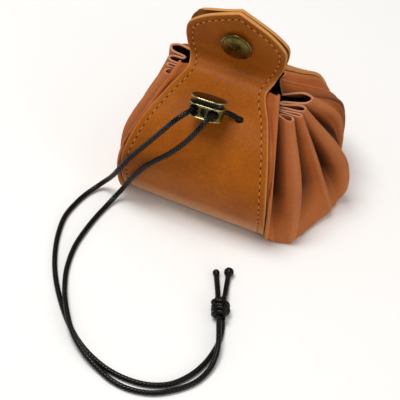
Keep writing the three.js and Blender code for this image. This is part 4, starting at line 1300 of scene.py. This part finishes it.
class DICEBAG_OT_cord_lock(bpy.types.Operator):
    """Make the cord lock: drum, stem and button"""

    bl_idname = "dice_bag.cord_lock"
    bl_label = "Cord Lock"

    DRUM = ((5.5, 0.0), (0.8, 0.0), (0.5, 0.1), (0.4, 0.3), (0.42, 0.55), (0.6, 0.7), (0.35, 3.0),
            (0.25, 5.75), (0.02, 5.9), (0, 6.1), (0, 6.35), (0.12, 6.55), (0.3, 6.6))
    STEM = ((0, 1.75), (0, 9.2))
    BUTTON = ((5.5, 8.9), (0.4, 8.9), (0.12, 8.97), (0, 9.15), (0, 9.4), (0.1, 9.58), (0.35, 9.7),
              (0.6, 9.68), (0.85, 9.6), (1.4, 9.64), (3.0, 9.74), (5.5, 9.8))
    RIM_OUT = 0.6
    DRUM_WALL = 0.6
    DRUM_ROUND = 0.12
    WALL_STEP = 0.3
    BUTTON_STEP = 0.6
    STEM_WALL = 0.8
    DRUM_BAND = (0.65, 5.75)
    DISC_HEIGHT = 9.5
    DISC_POWER = 2.4

    def execute(self, context):
        worn = old_brass("Worn brass", "#8C8555", "#BDB685")
        brass = old_brass("Antique brass of the lock", "#3E3920", "#827B50")
        # The button's top is dark metal tinted brown: the brown is a painted reflection of the tan leather.
        dark = old_brass("Dark polished brass tinted by painted leather reflection", "#160C08", "#28170F")
        plastic = black_plastic()
        self.make_drum(brass, worn)
        self.make_stem(plastic)
        self.make_button(worn, dark)
        return {"FINISHED"}

    def make_drum(self, brass, worn):
        bm = oval_wall(stretch(self.DRUM, self.WALL_STEP))
        below = [e for e in bm.edges if e.is_boundary and e.verts[0].co.z < MM]
        bmesh.ops.holes_fill(bm, edges=below, sides=0)
        cut_bores(bm, DRUM_BORE_UP, DRUM_BORE)

        def in_window(p):
            return abs(p[0]) < WINDOW_HALF and abs(p[2] - DRUM_BORE_UP) < WINDOW_HIGH / 2 and p[1] < 0

        punch(bm, in_window, lambda p: p)
        for face in bm.faces:
            height = face.calc_center_median().z / MM
            face.material_index = 0 if self.DRUM_BAND[0] < height < self.DRUM_BAND[1] else 1
        bmesh.ops.transform(bm, matrix=lock_matrix(), verts=bm.verts)
        drum = make_piece("lock_drum", bm, [brass, worn], replaces=["lock_body"])
        thicken(drum, self.DRUM_WALL * MM, -1, rim=1)
        round_edges(drum, self.DRUM_ROUND * MM)

    def make_stem(self, plastic):
        bm = oval_wall(stretch(self.STEM, self.WALL_STEP), STEM_OVAL)
        cut_bores(bm, DRUM_BORE_UP + STEM_LIFT, STEM_BORE)
        bmesh.ops.transform(bm, matrix=lock_matrix(), verts=bm.verts)
        stem = make_piece("lock_stem", bm, [plastic], body="button")
        thicken(stem, self.STEM_WALL * MM, -1)

    def make_button(self, worn, dark):
        bm = oval_wall(stretch(self.BUTTON, self.BUTTON_STEP))
        weld(bm, 0.02)
        close_ends(bm)
        bmesh.ops.recalc_face_normals(bm, faces=bm.faces)
        half_long = LOCK_LONG / 2 - self.RIM_OUT
        half_deep = LOCK_DEEP / 2 - self.RIM_OUT
        for face in bm.faces:
            x, y, z = face.calc_center_median() / MM
            inside = abs(x / half_long) ** self.DISC_POWER + abs(y / half_deep) ** self.DISC_POWER < 1
            face.material_index = 1 if inside and z > self.DISC_HEIGHT else 0
        bmesh.ops.transform(bm, matrix=lock_matrix(), verts=bm.verts)
        make_piece("lock_button_cap", bm, [worn, dark], body="button",
                   replaces=["lock_button"])


class DICEBAG_OT_cord(bpy.types.Operator):
    """Lay the cord: drawn through the bag, two free strands, the knot and its tails"""

    bl_idname = "dice_bag.cord"
    bl_label = "Cord"

    KNOT_TURNS = 1.75
    KNOT_WIDE = 3.3
    KNOT_HIGH = 2.45
    KNOT_PHASE = 0.6
    KNOT_ENDS = 0.16
    KNOT_POINTS = 160
    CORE_APART = 0.9
    CORE_WAIST = 0.5

    def execute(self, context):
        cord = context.scene.dice_bag.cord
        radius = cord.diameter / MM / 2
        wax = waxed_cord(cord.colour)
        make_piece("cord_through_bag", tube(route_line(DRAWN_ROUTE), radius), [wax],
                   replaces=["cord_drawn"])
        knot = make_piece("knot", self.knot(radius), [wax], replaces=["cord_knot"])
        tails = [self.make_tail(name, route, bead, radius, wax) for name, (route, bead) in TAILS.items()]
        for name, route in (("left", LEFT_ROUTE), ("right", RIGHT_ROUTE)):
            line = even(route_line(route), LINE_STEP)
            strand = make_piece("strand_" + name, tube(line, radius), [wax],
                                replaces=["cord_" + name])
        return {"FINISHED"}

    def make_tail(self, name, route, bead, radius, wax):
        """A tail whose end is melted into a bead."""
        line = route_line(route)
        total = lengths(even(line, TUBE_STEP))[-1]

        def swell(along, thin):
            left = total - along
            ball = np.sqrt(np.maximum(bead ** 2 - (left - bead) ** 2, 0.01))
            return np.where(left < 2 * bead, np.maximum(ball, np.where(left > bead, thin, 0)), thin)

        return make_piece("tail_" + name.rsplit("_", 1)[1], tube(line, radius, swell), [wax],
                          replaces=[name])

    def knot(self, radius):
        """Two strands side by side, wound round themselves and pulled tight."""
        start, end = np.array(KNOT_START), np.array(KNOT_END)
        ahead = (end - start) / np.linalg.norm(end - start)
        side = np.cross(ahead, (0, 0, 1))
        long = np.linalg.norm(end - start)
        whole = bmesh.new()
        share = np.linspace(0, 1, self.KNOT_POINTS)
        for k in (-1, 1):
            turn = 2 * np.pi * self.KNOT_TURNS * share + self.KNOT_PHASE
            along = radius + (long - 4 * radius) * share + (1 + k) * radius
            round_share = self.KNOT_ENDS + (1 - 2 * self.KNOT_ENDS) * share
            wide = self.KNOT_WIDE * np.sqrt(np.sin(np.pi * round_share))
            line = (start + ahead * along[:, None] + side * (wide * np.cos(turn))[:, None]
                    + np.array((0, 0, 1)) * (self.KNOT_HIGH * np.sin(turn))[:, None])
            join(whole, tube(line, radius))
        for k in (-1, 1):
            apart = side * k * radius * self.CORE_APART
            waist = (start + end) / 2 + side * k * self.CORE_WAIST
            core = np.array([start + apart, waist, end + apart])
            join(whole, tube(route_line(core), radius))
        return whole


class DICEBAG_PT_sidebar(bpy.types.Panel):
    """Lists the pieces of the dice bag and their settings"""

    bl_idname = "DICEBAG_PT_sidebar"
    bl_label = "Dice Bag"
    bl_space_type = "VIEW_3D"
    bl_region_type = "UI"
    bl_category = "Dice Bag"

    def draw(self, context):
        settings = context.scene.dice_bag
        for group in (settings.leather, settings.cord, settings.stage):
            box = self.layout.box()
            for name in group.__annotations__:
                box.prop(group, name)
        for operator in OPERATORS:
            self.layout.operator(operator.bl_idname)


OPERATORS = (DICEBAG_OT_stage, DICEBAG_OT_cord, DICEBAG_OT_panel, DICEBAG_OT_sides, DICEBAG_OT_stitching,
             DICEBAG_OT_press_stud, DICEBAG_OT_cord_lock)
CLASSES = (DiceBagLeather, DiceBagCord, DiceBagStage, DiceBagSettings, *OPERATORS, DICEBAG_PT_sidebar)


def register():
    for cls in CLASSES:
        bpy.utils.register_class(cls)
    bpy.types.Scene.dice_bag = bpy.props.PointerProperty(type=DiceBagSettings)


def unregister():
    del bpy.types.Scene.dice_bag
    for cls in reversed(CLASSES):
        bpy.utils.unregister_class(cls)


def main():
    register()
    bpy.ops.dice_bag.stage()
    bpy.ops.dice_bag.cord()
    bpy.ops.dice_bag.panel()
    bpy.ops.dice_bag.sides()
    bpy.ops.dice_bag.stitching()
    bpy.ops.dice_bag.press_stud()
    bpy.ops.dice_bag.cord_lock()


if __name__ == "__main__":
    main()
